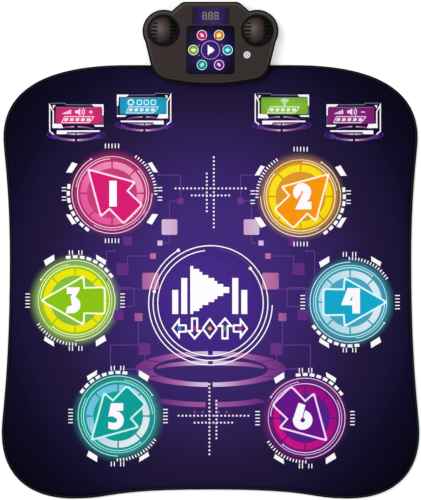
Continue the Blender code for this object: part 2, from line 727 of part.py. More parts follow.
def build_key(name, x, y):
    """Flanged key and the foam frame that lifts it."""
    place = (x, y, 0.0)
    top = rounded(KEY_LENGTH, KEY_WIDTH, KEY_CORNER)
    more = 2 * GUIDE_RIM
    flange = rounded(KEY_LENGTH + more, KEY_WIDTH + more, KEY_CORNER + GUIDE_RIM)
    rings = [(flange, GUIDE_FLOOR), (flange, GUIDE_TOP), (top, GUIDE_TOP), (top, WINDOW_TOP)]
    add_object(name + "_key", loft(rings), finish(name + "_print", KEY_COLOURS[name], 0.4), place)
    outer = rounded(KEY_LENGTH + more - 2.0, KEY_WIDTH + more - 2.0, KEY_CORNER, steps=1)
    less = more - 2.0 - 2 * FRAME_WIDTH
    inner = rounded(KEY_LENGTH + less, KEY_WIDTH + less, KEY_CORNER, steps=1)
    rings = [(outer, RING_FLOOR), (outer, RING_TOP), (inner, RING_TOP), (inner, RING_FLOOR)]
    foam = finish("return_foam", "303038", 0.95)
    add_object(name + "_return_frame", loft(rings, closed=True), foam, place)


def build_lower_shell():
    """Tray under the console, with the ledge under the mat's tongue and the battery bay."""
    foot = console_outline(LOWER_INSET + LOWER_CHAMFER)
    side = console_outline(LOWER_INSET)
    rings = [(foot, 0.0), (side, LOWER_CHAMFER), (side, SHELL_SPLIT)]
    shell = add_object("lower_shell", loft(rings), finish("moulded_plastic", "2B2827", 0.5))

    hollow = console_outline(LOWER_INSET + SHELL_WALL)
    rings = [(hollow, SHELL_WALL), (hollow, SHELL_SPLIT + 5.0)]
    cavity = add_cutter("tray_hollow", loft(rings))
    low = (-300.0, CONSOLE_BOTTOM_Y - 50.0, -5.0)
    ledge = block(low, (300.0, LEDGE_BACK_Y, SHELL_SPLIT + 10.0))
    combine(cavity, add_cutter("ledge_keep", ledge), "DIFFERENCE")
    combine(shell, cavity, "DIFFERENCE")

    half = TONGUE_HALF + NOTCH_GAP
    low = (-half, CONSOLE_BOTTOM_Y - 20.0, LEDGE_TOP)
    slot = block(low, (half, LEDGE_BACK_Y + 1.0, SHELL_SPLIT + 5.0))
    combine(shell, add_cutter("tongue_slot", slot), "DIFFERENCE")

    wall = (BAY_HALF_X + BAY_WALL, BAY_HALF_Y + BAY_WALL)
    low = (-wall[0], BAY_Y - wall[1], SHELL_WALL / 2)
    walls = block(low, (wall[0], BAY_Y + wall[1], BAY_TOP))
    for side in (-1, 1):
        boss = circle(BOSS_RADIUS, SMALL_SIDES, side * REAR_BOSS[0], REAR_BOSS_Y)
        loft([(boss, SHELL_WALL / 2), (boss, SHELL_SPLIT)], walls)
    combine(shell, add_cutter("bay_walls", walls), "UNION")

    posts = bmesh.new()
    for sx in (-1, 1):
        for sy in (-1, 1):
            post = circle(STANDOFF_RADIUS, 8, sx * BAY_HALF_X * 0.7, BAY_Y + sy * BAY_HALF_Y * 0.7)
            loft([(post, BAY_TOP - 1.0), (post, BAY_TOP + STANDOFF_HEIGHT)], posts)
    low = (-DOOR_LUG[0] - BAY_WALL, BAY_Y - BAY_HALF_Y - DOOR_LUG[1] - BAY_WALL, SHELL_WALL / 2)
    block(low, (-low[0], BAY_Y - BAY_HALF_Y - BAY_WALL / 2, SHELL_SPLIT - 2.0), posts)
    combine(shell, add_cutter("standoffs", posts), "UNION")

    low = (-BAY_HALF_X, BAY_Y - BAY_HALF_Y, -5.0)
    bay = block(low, (BAY_HALF_X, BAY_Y + BAY_HALF_Y, BAY_ROOF_FLOOR))
    combine(shell, add_cutter("bay_hollow", bay), "DIFFERENCE")

    size = (2 * (BAY_HALF_X + DOOR_LAP), 2 * (BAY_HALF_Y + DOOR_LAP))
    rebate = rounded(*size, REBATE_CORNER, 0.0, BAY_Y)
    cuts = loft([(rebate, -4.0), (rebate, REBATE_TOP)])
    combine(shell, add_cutter("door_rebate", cuts), "DIFFERENCE")
    low = (-DOOR_LUG[0], BAY_Y - BAY_HALF_Y - DOOR_LUG[1], -4.5)
    lug = block(low, (DOOR_LUG[0], BAY_Y - BAY_HALF_Y + 2.0, LUG_TOP + GAP))
    combine(shell, add_cutter("lug_rebate", lug), "DIFFERENCE")

    edge_y = BAY_Y + BAY_HALF_Y
    ridges = bmesh.new()
    cuts = bmesh.new()
    for sx in (-1, 1):
        low = (sx * TAB_ACROSS - TAB_HALF - 0.6, edge_y - 1.0, DOOR_TOP + DOOR_RIB - 0.2)
        high = (sx * TAB_ACROSS + TAB_HALF + 0.6, edge_y + BAY_WALL + 1.0, low[2] + 2.6)
        block(low, high, cuts)
        low = (low[0] - 0.2, edge_y - 1.5, REBATE_TOP - 0.5)
        block(low, (high[0] + 0.2, edge_y + 0.7, DOOR_TOP + DOOR_RIB + 0.8), ridges)
    hole = circle(SCREW_RADIUS + 0.6, SMALL_SIDES, 0.0, LUG_SCREW_Y)
    loft([(hole, -3.0), (hole, SHELL_SPLIT - 4.0)], cuts)
    combine(shell, add_cutter("tab_pockets", cuts), "DIFFERENCE")
    combine(shell, add_cutter("tab_ridges", ridges), "DIFFERENCE")
    combine(shell, add_cutter("lower_screw_holes", lower_screw_holes()), "DIFFERENCE")


def boss_places():
    return [
        (sx * across, y)
        for sx in (-1, 1)
        for across, y in ((FRONT_BOSS[0], FRONT_BOSS_Y), (REAR_BOSS[0], REAR_BOSS_Y))
    ]


def lower_screw_holes():
    """Stepped holes for the case screws, from below."""
    head_top = SCREW_HEAD_FLOOR + SCREW_HEAD_HEIGHT + GAP
    profile = [
        (SCREW_HEAD + GAP, -3.0),
        (SCREW_HEAD + GAP, head_top),
        (SCREW_RADIUS + GAP, head_top),
        (SCREW_RADIUS + GAP, SHELL_SPLIT + 3.0),
    ]
    shape = bmesh.new()
    for x, y in boss_places():
        turned(profile, SMALL_SIDES, shape, x, y)
    return shape


def build_upper_shell():
    """Moulded housing: stepped side, speaker recesses, window openings, bosses and seats."""
    outer = [(console_outline(0.0), SPLIT_TOP)]
    outer += [(console_outline(inset), SHELL_TOP - drop) for inset, drop in SHELL_STEPS]
    shell = add_object("upper_shell", loft(outer), finish("moulded_plastic", "2B2827", 0.5))

    inner = [(console_outline(SHELL_WALL), SPLIT_TOP - 5.0)]
    for inset, drop in SHELL_STEPS[:1] + SHELL_STEPS[3:5] + SHELL_STEPS[-1:]:
        inner.append((console_outline(inset + SHELL_WALL), SHELL_TOP - drop - SHELL_WALL))
    combine(shell, add_cutter("housing_hollow", loft(inner)), "DIFFERENCE")

    supports = bmesh.new()
    for sx in (-1, 1):
        ring = circle(GRILLE_OPENING + SEAT_RING_WIDTH, GRILLE_SIDES, sx * EAR_ACROSS, EAR_Y)
        loft([(ring, SEAT_FLOOR), (ring, ROOF + 1.0)], supports)
        front = circle(BOSS_RADIUS, SMALL_SIDES, sx * FRONT_BOSS[0], FRONT_BOSS_Y)
        loft([(front, LEDGE_TOP + GAP), (front, ROOF + 1.0)], supports)
        rear = circle(BOSS_RADIUS, SMALL_SIDES, sx * REAR_BOSS[0], REAR_BOSS_Y)
        loft([(rear, SPLIT_TOP), (rear, ROOF + 1.0)], supports)
    combine(shell, add_cutter("housing_supports", supports), "UNION")

    cuts = bmesh.new()
    seat = [
        (GRILLE_OPENING, SEAT_FLOOR - 3.0),
        (GRILLE_OPENING, SEAT_TOP),
        (GRILLE_RECESS, SEAT_TOP),
        (GRILLE_RECESS, SHELL_TOP + 3.0),
    ]
    for sx in (-1, 1):
        turned(seat, GRILLE_SIDES, cuts, sx * EAR_ACROSS, EAR_Y)
    length, width = DISPLAY_SIZE
    ledge = 2 * DISPLAY_LEDGE
    through = rounded(length - ledge, width - ledge, DISPLAY_CORNER, 0.0, DISPLAY_Y)
    fit = 2 * GAP
    recess = rounded(length + fit, width + fit, DISPLAY_CORNER + GAP, 0.0, DISPLAY_Y)
    step = SHELL_TOP - DISPLAY_THICKNESS - GAP
    display = [(through, ROOF - 3.0), (through, step), (recess, step), (recess, SHELL_TOP + 3.0)]
    loft(display, cuts)
    panel = rounded(*PANEL_SIZE, PANEL_CORNER, 0.0, PANEL_Y)
    loft([(panel, ROOF - 3.0), (panel, SHELL_TOP + 3.0)], cuts)
    button = circle(BUTTON_RADIUS + GAP, RING_SIDES, BUTTON_ACROSS, BUTTON_Y)
    loft([(button, ROOF - 3.0), (button, SHELL_TOP + 3.0)], cuts)
    for x, y in boss_places():
        hole = circle(SCREW_RADIUS + GAP, SMALL_SIDES, x, y)
        loft([(hole, LEDGE_TOP - 2.0), (hole, SCREW_TOP + 1.0)], cuts)
    combine(shell, add_cutter("housing_cuts", cuts), "DIFFERENCE")


def build_grille(name, x):
    """Domed grille with slats on both sides of a solid band, and a flange that seats in the ear."""
    base = SEAT_TOP + GAP
    top = base + GRILLE_FLANGE
    rise = DOME_RISE
    ball = (DOME_RADIUS**2 + rise**2) / (2 * rise)
    outer = []
    for share in (1.0, 0.75, 0.5, 0.25):
        radius = DOME_RADIUS * share
        outer.append((radius, top + rise - ball + math.sqrt(ball**2 - radius**2)))
    inner = [(radius, height - DOME_WALL) for radius, height in outer[2::-2]]
    inner[-1] = (DOME_RADIUS - DOME_WALL, base)
    rim = GRILLE_RECESS - GAP
    profile = inner + [(rim, base), (rim, top)] + outer
    place = (x, EAR_Y, 0.0)
    black = finish("grille_plastic", "1C1817", 0.4)
    grille = add_object(name, turned(profile, GRILLE_SIDES), black, place)
    slots = bmesh.new()
    for row in range(-3, 4):
        y = row * SLOT_PITCH
        reach = math.sqrt(SLOT_REACH**2 - y * y)
        low = (y - SLOT_HEIGHT / 2, base - 3.0)
        high = (y + SLOT_HEIGHT / 2, top + rise + 3.0)
        if abs(row) == 3:
            block((-reach + 2.0, *low), (reach - 2.0, *high), slots)
            continue
        block((-reach, *low), (-BAND_HALF, *high), slots)
        block((BAND_HALF, *low), (reach, *high), slots)
    combine(grille, add_cutter(name + "_slots", slots, place), "DIFFERENCE")


def build_speaker(name, x):
    """Driver with magnet, basket, cone and dust cap, hung under the ear's seat ring."""
    top = SEAT_FLOOR - GAP
    floor = top - SPEAKER_DEPTH
    rim = SPEAKER_RADIUS
    profile = [
        (MAGNET_RADIUS, floor),
        (MAGNET_RADIUS, floor + 6.0),
        (MAGNET_RADIUS - 4.0, floor + 8.0),
        (rim - 6.0, top - 3.0),
        (rim, top - 1.6),
        (rim, top),
        (rim - 6.0, top),
        (10.0, top - 7.0),
        (4.0, top - 4.5),
    ]
    paper = finish("speaker_cone", "151515", 0.8)
    add_object(name, turned(profile, RING_SIDES), paper, (x, EAR_Y, 0.0))


def build_display():
    """Smoked display window and the three-digit module behind it."""
    length, width = DISPLAY_SIZE
    lens = rounded(length, width, DISPLAY_CORNER, 0.0, DISPLAY_Y)
    rings = [(lens, SHELL_TOP - DISPLAY_THICKNESS), (lens, SHELL_TOP)]
    add_object("display_lens", loft(rings), finish("smoked_acrylic", "2D1D5E", 0.15))
    outline = rectangle(*MODULE_SIZE, 0.0, DISPLAY_Y)
    face = rectangle(MODULE_SIZE[0] - 1.0, MODULE_SIZE[1] - 1.0, 0.0, DISPLAY_Y)
    top = SHELL_TOP - DISPLAY_THICKNESS - 2 * GAP - 0.2
    rings = [(outline, BOARD_TOP + GAP), (outline, top - 0.5), (face, top)]
    add_object("digit_display", loft(rings), finish("digit_module", "23202A", 0.6))


def build_panel():
    """Picture panel window and the baffle that keeps its seven lamps apart."""
    back = ROOF - GAP
    size = (PANEL_SIZE[0] + 2 * PANEL_MARGIN, PANEL_SIZE[1] + 2 * PANEL_MARGIN)
    lens = rounded(*size, PANEL_CORNER + PANEL_MARGIN, 0.0, PANEL_Y)
    rings = [(lens, back - PANEL_THICKNESS), (lens, back)]
    add_object("panel_lens", loft(rings), finish("printed_acrylic", "26185E", 0.2))
    outline = rectangle(BAFFLE_SIDE, BAFFLE_SIDE, 0.0, PANEL_Y)
    floor = BOARD_TOP + GAP
    top = back - PANEL_THICKNESS - GAP
    white = finish("white_baffle", "D8D8D8", 0.6)
    baffle = add_object("light_baffle", loft([(outline, floor), (outline, top)]), white)
    wells = bmesh.new()
    centre = circle(BAFFLE_CENTRE, SMALL_SIDES, 0.0, PANEL_Y)
    loft([(centre, floor - 2.0), (centre, top + 2.0)], wells)
    for x, y in circle(BAFFLE_RING, 6, 0.0, PANEL_Y):
        well = circle(BAFFLE_WELL, 8, x, y)
        loft([(well, floor - 2.0), (well, top + 2.0)], wells)
    combine(baffle, add_cutter("lamp_wells", wells), "DIFFERENCE")


def build_button():
    """Power button, its silicone return sleeve, and nothing under it but the board's switch."""
    place = (BUTTON_ACROSS, BUTTON_Y, 0.0)
    flange_top = ROOF - GAP
    flange_floor = flange_top - BUTTON_FLANGE
    crown = SHELL_TOP + BUTTON_PROUD
    profile = [
        (2.2, switch_top() + BUTTON_TRAVEL + 0.1),
        (2.2, flange_floor),
        (BUTTON_RADIUS + 1.7, flange_floor),
        (BUTTON_RADIUS + 1.7, flange_top),
        (BUTTON_RADIUS, flange_top),
        (BUTTON_RADIUS, crown - 0.7),
        (BUTTON_RADIUS - 0.7, crown),
    ]
    white = finish("white_button", "F0EFF0", 0.35)
    add_object("power_button", turned(profile, RING_SIDES), white, place)
    outer = circle(BUTTON_RADIUS - 0.8, SMALL_SIDES)
    inner = circle(BUTTON_RADIUS - 2.3, SMALL_SIDES)
    floor = BOARD_TOP + GAP
    top = flange_floor - GAP
    rings = [(outer, floor), (outer, top), (inner, top), (inner, floor)]
    silicone = finish("silicone", "B0B0B0", 0.7)
    add_object("button_return_sleeve", loft(rings, closed=True), silicone, place)


def switch_top():
    return BOARD_TOP + 4.4


def build_board():
    """Main board with its switch, chips, lamps and the connector for the film's tail."""
    high = CONSOLE_TOP_Y - BOARD_FROM_TOP
    low = CONSOLE_BOTTOM_Y + BOARD_FROM_BOTTOM
    wing_low = BUTTON_Y - BOARD_WING[1] / 2
    wing_high = BUTTON_Y + BOARD_WING[1] / 2
    wing_out = BOARD_HALF + BOARD_WING[0]
    outline = [
        (-BOARD_HALF, low),
        (BOARD_HALF, low),
        (BOARD_HALF, wing_low),
        (wing_out, wing_low),
        (wing_out, wing_high),
        (BOARD_HALF, wing_high),
        (BOARD_HALF, high),
        (-BOARD_HALF, high),
    ]
    rings = [(outline, BOARD_FLOOR), (outline, BOARD_TOP)]
    board = add_object("main_board", loft(rings), finish("circuit_board", "1E5A32", 0.5))
    inside = BOARD_FLOOR + BOARD_THICKNESS / 2
    parts = bmesh.new()
    block((BUTTON_ACROSS - 3, BUTTON_Y - 3, inside), (BUTTON_ACROSS + 3, BUTTON_Y + 3, switch_top()), parts)
    connector_y = LEDGE_BACK_Y + 15.0
    half = TAIL_WIDTH / 2 + 2.0
    top = inside
    block((-half, connector_y - 4.0, BOARD_FLOOR - 3.6), (half, connector_y + 4.0, top), parts)
    for x, y in [(0.0, PANEL_Y)] + circle(BAFFLE_RING, 6, 0.0, PANEL_Y):
        block((x - 2.5, y - 2.5, inside), (x + 2.5, y + 2.5, BOARD_TOP + 1.0), parts)
    block((-40.0, DISPLAY_Y - 8.0, BOARD_FLOOR - 1.5), (-26.0, DISPLAY_Y + 6.0, inside), parts)
    block((20.0, DISPLAY_Y - 6.0, BOARD_FLOOR - 1.2), (30.0, DISPLAY_Y + 4.0, inside), parts)
    combine(board, add_cutter("board_parts", parts), "UNION")


def build_cells():
    """Dry cells laid side by side, every second one turned round."""
    body = CELL_DIAMETER / 2
    half = (CELL_LENGTH - CELL_NUB) / 2
    silver = finish("cell_jacket", "B8B4A8", 0.35, 0.6)
    for i in range(CELL_COUNT):
        shift = -CELL_NUB / 2
        profile = [
            (body - 0.6, shift - half),
            (body, shift - half + 0.6),
            (body, shift + half - 0.6),
            (body - 0.6, shift + half),
            (2.7, shift + half),
            (2.7, shift + half + CELL_NUB),
        ]
        y = BAY_Y + (i - (CELL_COUNT - 1) / 2) * CELL_PITCH
        shape = turned(profile, SMALL_SIDES)
        cell = add_object(f"battery_cell_{i + 1}", shape, silver, (0.0, y, CELL_Z))
        cell.rotation_euler = (0.0, math.radians(90 if i % 2 else -90), 0.0)


def build_contacts():
    """Sprung contact plates at both ends of the bay."""
    metal = finish("nickel_strip", "C8C8C4", 0.25, 1.0)
    for side, name in ((-1, "left_contact_plate"), (1, "right_contact_plate")):
        outer = side * (BAY_HALF_X - GAP)
        inner = side * (BAY_HALF_X - GAP - PLATE_THICKNESS)
        low = (min(outer, inner), BAY_Y - BAY_HALF_Y + GAP, CELL_LIFT)
        high = (max(outer, inner), BAY_Y + BAY_HALF_Y - GAP, CELL_LIFT + CELL_DIAMETER - 1.0)
        plate = add_object(name, block(low, high), metal)
        studs = bmesh.new()
        reach = CONTACT_SPACE - GAP - PLATE_THICKNESS - GAP
        for i in range(CELL_COUNT):
            turned([(3.0, -0.2), (3.0, 1.0), (1.6, reach)], 6, studs, 0.0, (i - 1) * CELL_PITCH)
        cutter = add_cutter(name + "_studs", studs, (inner, BAY_Y, CELL_Z))
        cutter.rotation_euler = (0.0, math.radians(-90 * side), 0.0)
        combine(plate, cutter, "UNION")


def build_door():
    """Battery door with its hinge tabs, seating rib and captive screw."""
    place = (0.0, PIVOT_Y, PIVOT_Z)
    centre_y = BAY_Y - PIVOT_Y
    lap = DOOR_LAP - GAP
    plate = rounded(2 * (BAY_HALF_X + lap), 2 * (BAY_HALF_Y + lap), DOOR_CORNER, 0.0, centre_y)
    floor = DOOR_LIFT - PIVOT_Z
    top = DOOR_TOP - PIVOT_Z
    plastic = finish("moulded_plastic", "2B2827", 0.5)
    door = add_object("battery_door", loft([(plate, floor), (plate, top)]), plastic, place)
    edge_y = centre_y - BAY_HALF_Y
    low = (-DOOR_LUG[0] + GAP, edge_y - DOOR_LUG[1] + GAP, floor)
    lug = block(low, (DOOR_LUG[0] - GAP, edge_y + 1.5, LUG_TOP - PIVOT_Z))
    combine(door, add_cutter("door_lug", lug, place), "UNION")
    rib = rectangle(2 * BAY_HALF_X - 2.0, 2 * BAY_HALF_Y - 2.0, 0.0, centre_y)
    rib_shape = loft([(rib, top - 0.5), (rib, top + DOOR_RIB)])
    combine(door, add_cutter("door_rib", rib_shape, place), "UNION")
    posts = bmesh.new()
    lips = bmesh.new()
    back_y = centre_y + BAY_HALF_Y
    for sx in (-1, 1):
        left = sx * TAB_ACROSS - TAB_HALF
        right = sx * TAB_ACROSS + TAB_HALF
        block((left, back_y - 3.5, top - 0.4), (right, back_y - 1.4, top + DOOR_RIB + 0.8), posts)
        low = (left, back_y - 3.5, top + DOOR_RIB + GAP)
        block(low, (right, back_y + 1.2, top + DOOR_RIB + 1.4), lips)
    combine(door, add_cutter("door_tab_posts", posts, place), "UNION")
    combine(door, add_cutter("door_tab_lips", lips, place), "UNION")
    head_top = DOOR_SCREW_FLOOR + SCREW_HEAD_HEIGHT
    head_hole = circle(SCREW_HEAD + GAP, SMALL_SIDES)
    shank_hole = circle(SCREW_RADIUS + GAP, SMALL_SIDES)
    hole = [
        (head_hole, DOOR_LIFT - 3.0),
        (head_hole, head_top + GAP),
        (shank_hole, head_top + GAP),
        (shank_hole, LUG_TOP + 3.0),
    ]
    cutter = add_cutter("door_screw_hole", loft(hole), (0.0, LUG_SCREW_Y, 0.0))
    combine(door, cutter, "DIFFERENCE")
    y = LUG_SCREW_Y - PIVOT_Y
    screw = screw_shape(DOOR_SCREW_FLOOR - PIVOT_Z, SCREW_HEAD_HEIGHT, DOOR_SCREW_TOP - PIVOT_Z, y)
    zinc = finish("zinc_plated_steel", "9A9AA0", 0.35, 1.0)
    add_object("battery_door_screw", screw, zinc, place)


def screw_shape(head_floor, head_height, top, y=0.0):
    profile = [
        (SCREW_HEAD, head_floor),
        (SCREW_HEAD, head_floor + head_height),
        (SCREW_RADIUS, head_floor + head_height),
        (SCREW_RADIUS, top),
    ]
    return turned(profile, SMALL_SIDES, None, 0.0, y)


def build_screws():
    """Case screws, driven from below."""
    zinc = finish("zinc_plated_steel", "9A9AA0", 0.35, 1.0)
    for i, (x, y) in enumerate(boss_places()):
        shape = screw_shape(SCREW_HEAD_FLOOR, SCREW_HEAD_HEIGHT, SCREW_TOP)
        add_object(f"case_screw_{i + 1}", shape, zinc, (x, y, 0.0))


def build_console():
    build_lower_shell()
    build_upper_shell()
    for side, name in ((-1, "left"), (1, "right")):
        build_grille(name + "_grille", side * EAR_ACROSS)
        build_speaker(name + "_speaker", side * EAR_ACROSS)
    build_display()
    build_panel()
    build_button()
    build_board()
    build_cells()
    build_contacts()
    build_door()
    build_screws()


def main():
    for obj in list(bpy.data.objects):
        bpy.data.objects.remove(obj)
    build_mat()
    for name, (x, y, radius) in PADS.items():
        build_pad(name, x, y, radius)
    for name, (x, y) in KEYS.items():
        build_key(name, x, y)
    build_console()


main()
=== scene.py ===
"""Looks of the light-up dance mat: fabric, printed ink, lit pads and the moulded console.

Shapes are worked out in millimetres in the part's own frame, and become metres in their meshes.
"""

import json
import math

import bmesh
import bpy
from bpy.props import FloatProperty, FloatVectorProperty, IntProperty, PointerProperty
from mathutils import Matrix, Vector


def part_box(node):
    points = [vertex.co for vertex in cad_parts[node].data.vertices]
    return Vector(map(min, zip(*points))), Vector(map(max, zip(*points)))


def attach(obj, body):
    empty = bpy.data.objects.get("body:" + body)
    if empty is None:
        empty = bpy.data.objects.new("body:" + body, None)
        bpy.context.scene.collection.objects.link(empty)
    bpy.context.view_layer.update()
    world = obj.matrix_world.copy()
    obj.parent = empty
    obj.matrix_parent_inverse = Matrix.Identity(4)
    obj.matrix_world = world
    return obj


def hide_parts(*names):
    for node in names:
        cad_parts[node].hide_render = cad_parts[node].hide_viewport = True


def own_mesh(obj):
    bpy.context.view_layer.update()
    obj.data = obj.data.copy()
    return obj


bl_info = {
    "name": "Light-up dance mat",
    "version": (1, 0, 0),
    "blender": (4, 5, 0),
    "location": "3D View > Sidebar > Dance mat",
    "description": "Builds the fabric, print and console of a light-up dance mat",
    "category": "Add Mesh",
}

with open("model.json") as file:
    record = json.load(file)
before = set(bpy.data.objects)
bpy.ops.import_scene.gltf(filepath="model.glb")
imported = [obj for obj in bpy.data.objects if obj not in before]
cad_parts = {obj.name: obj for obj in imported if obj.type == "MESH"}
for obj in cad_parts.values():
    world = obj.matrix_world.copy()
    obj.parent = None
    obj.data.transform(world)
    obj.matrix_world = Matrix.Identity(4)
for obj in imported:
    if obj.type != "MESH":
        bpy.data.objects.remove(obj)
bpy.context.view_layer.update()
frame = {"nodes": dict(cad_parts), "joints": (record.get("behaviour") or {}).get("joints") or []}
NODES = frame["nodes"]
MM = 0.001
PX = 2.153  # one pixel of the photograph, in millimetres
GAP = 0.4  # air round each pad and key
KEY_FLANGE = 3.0  # the flange that holds a key down, on each side
MAT_LENGTH = 933.9

PAD_ANGLES = {"pad_1": 135, "pad_2": 45, "pad_3": 180, "pad_4": 0, "pad_5": 225, "pad_6": 315}
# Print on each pad: ring round the segments, disc inside them, arrow, lines, the two ends of the
# segments' tint, and the window's edge
PAD_INKS = {
    "pad_1": ("BE3072", "C83C78", "D81C72", "FFCCE8", "E65A9C", "EC92BA", "A03270"),
    "pad_2": ("DCA00C", "DE9826", "FA960A", "FFF2C4", "F8DC0E", "FAE21E", "BC8434"),
    "pad_3": ("A5C81A", "84BE3E", "8CC412", "ECFFC8", "EEE806", "EEE60C", "8ABA3C"),
    "pad_4": ("3A9EB6", "46A5C3", "12A8CC", "C4F8FF", "B4DCEE", "DEEEF4", "4694AE"),
    "pad_5": ("1C9898", "0FA096", "0C9E98", "A4F6EA", "70C4E2", "E4EEF2", "1E9492"),
    "pad_6": ("701278", "5A1E8C", "661488", "F4C4FA", "A00A84", "CC1086", "562470"),
}
# Printed glow round each pad: its colour, its strength at the edge, and its share of the full width
HALOS = {
    "pad_1": ("C23474", 0.55, 1.0),
    "pad_2": ("D89A58", 0.52, 1.0),
    "pad_3": ("A2C860", 0.92, 1.2),
    "pad_4": ("3EA0B8", 0.85, 1.0),
    "pad_5": ("289898", 0.95, 1.2),
    "pad_6": ("7E2484", 0.75, 1.0),
}
KEY_INKS = {
    "volume_up": "D82C7A",
    "mode": "1CA8D0",
    "wireless": "86C436",
    "volume_down": "8C1E80",
}


def spot(node):
    """The middle of a CAD node's top face, in millimetres."""
    low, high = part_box(node)
    return ((low.x + high.x) / 2 / MM, (low.y + high.y) / 2 / MM, high.z / MM)


def reach(node):
    """Half the width of a CAD node, in millimetres."""
    low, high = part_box(node)
    return (high.x - low.x) / 2 / MM


def key_size(name):
    """Length and width of the part of a key that shows, in millimetres."""
    low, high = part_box(name + "_key")
    return ((high.x - low.x) / MM - 2 * KEY_FLANGE, (high.y - low.y) / MM - 2 * KEY_FLANGE)


COVER_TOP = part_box("cover_sheet")[1].z / MM
CONSOLE_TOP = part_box("upper_shell")[1].z / MM
MAT_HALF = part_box("edge_binding")[1].x / MM
MAT_LOW_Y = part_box("edge_binding")[0].y / MM
MAT_HIGH_Y = MAT_LOW_Y + MAT_LENGTH
CONSOLE_LOW_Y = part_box("upper_shell")[0].y / MM
CONSOLE_HIGH_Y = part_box("upper_shell")[1].y / MM


# Colours and nodes


def linear(code):
    """The linear colour of an sRGB hex value."""
    channels = [int(code[i : i + 2], 16) / 255 for i in (0, 2, 4)]
    return [c / 12.92 if c <= 0.04045 else ((c + 0.055) / 1.055) ** 2.4 for c in channels] + [1.0]


def add_node(tree, kind, settings=None, inputs=None, stops=()):
    """Adds a node with its settings. Each input is a value, or the socket that it is linked to.

    Stops are the places and colours of a colour ramp. A colour is an sRGB hex value or is linear already.
    """
    node = tree.nodes.new(kind)
    for name, value in (settings or {}).items():
        setattr(node, name, value)
    for name, value in (inputs or {}).items():
        if isinstance(value, bpy.types.NodeSocket):
            tree.links.new(value, node.inputs[name])
        else:
            node.inputs[name].default_value = value
    if stops:
        elements = node.color_ramp.elements
        elements[0].position, elements[-1].position = stops[0][0], stops[-1][0]
        for place, _ in stops[1:-1]:
            elements.new(place)
        for element, (_, colour) in zip(elements, stops):
            element.color = linear(colour) if isinstance(colour, str) else colour
    return node


def new_material(name, colour, roughness, **shader_inputs):
    """A material with its Principled shader, and the node tree that feeds it."""
    material = bpy.data.materials.new(name)
    material.use_nodes = True
    tree = material.node_tree
    shader = tree.nodes["Principled BSDF"]
    shader.inputs["Base Color"].default_value = linear(colour)
    shader.inputs["Roughness"].default_value = roughness
    for key, value in shader_inputs.items():
        shader.inputs[key.replace("_", " ")].default_value = value
    return material, tree, shader


def object_point(tree, centre=(0.0, 0.0, 0.0)):
    """The place on a piece, in metres, measured from centre in millimetres."""
    coordinates = add_node(tree, "ShaderNodeTexCoord").outputs["Object"]
    back = [-c * MM for c in centre]
    mapping = add_node(tree, "ShaderNodeMapping", None, {"Vector": coordinates, "Location": back})
    return mapping.outputs["Vector"]


def share_out(tree, centre, radii):
    """How far a place lies from a centre, as a share of the radius along each axis, in millimetres.

    A radius of 0 leaves its axis out.
    """
    scale = [1 / (radius * MM) if radius else 0.0 for radius in radii]
    scaled = {0: object_point(tree, centre), 1: scale}
    scaled = add_node(tree, "ShaderNodeVectorMath", {"operation": "MULTIPLY"}, scaled)
    length = {0: scaled.outputs["Vector"]}
    return add_node(tree, "ShaderNodeVectorMath", {"operation": "LENGTH"}, length).outputs["Value"]


def share_along(tree, start, end):
    """How far a place has come from 0 at start to 1 at end, two points in millimetres."""
    way = (Vector(end) - Vector(start)) * MM
    along = {0: object_point(tree, start), 1: way / way.length_squared}
    return add_node(tree, "ShaderNodeVectorMath", {"operation": "DOT_PRODUCT"}, along).outputs["Value"]


def spread_tint(tree, shader, share, stops, glow=0.0):
    """Tints a surface by a colour ramp, and makes it glow in the same tint: light from behind on a lit film,
    a painted glow on ink on the cover.
    """
    tint = add_node(tree, "ShaderNodeValToRGB", None, {"Fac": share}, stops).outputs["Color"]
    tree.links.new(tint, shader.inputs["Base Color"])
    if glow:
        tree.links.new(tint, shader.inputs["Emission Color"])
        shader.inputs["Emission Strength"].default_value = glow


def add_grain(tree, shader, point, size_mm, strength, depth_mm):
    """Covers a surface with even grain about size_mm across, and returns the grain's pattern."""
    pattern = {"Vector": point, "Scale": 1 / (size_mm * MM), "Detail": 2.0}
    pattern = add_node(tree, "ShaderNodeTexNoise", None, pattern).outputs["Fac"]
    relief = {"Height": pattern, "Strength": strength, "Distance": depth_mm * MM}
    relief = add_node(tree, "ShaderNodeBump", None, relief).outputs["Normal"]
    tree.links.new(relief, shader.inputs["Normal"])
    return pattern


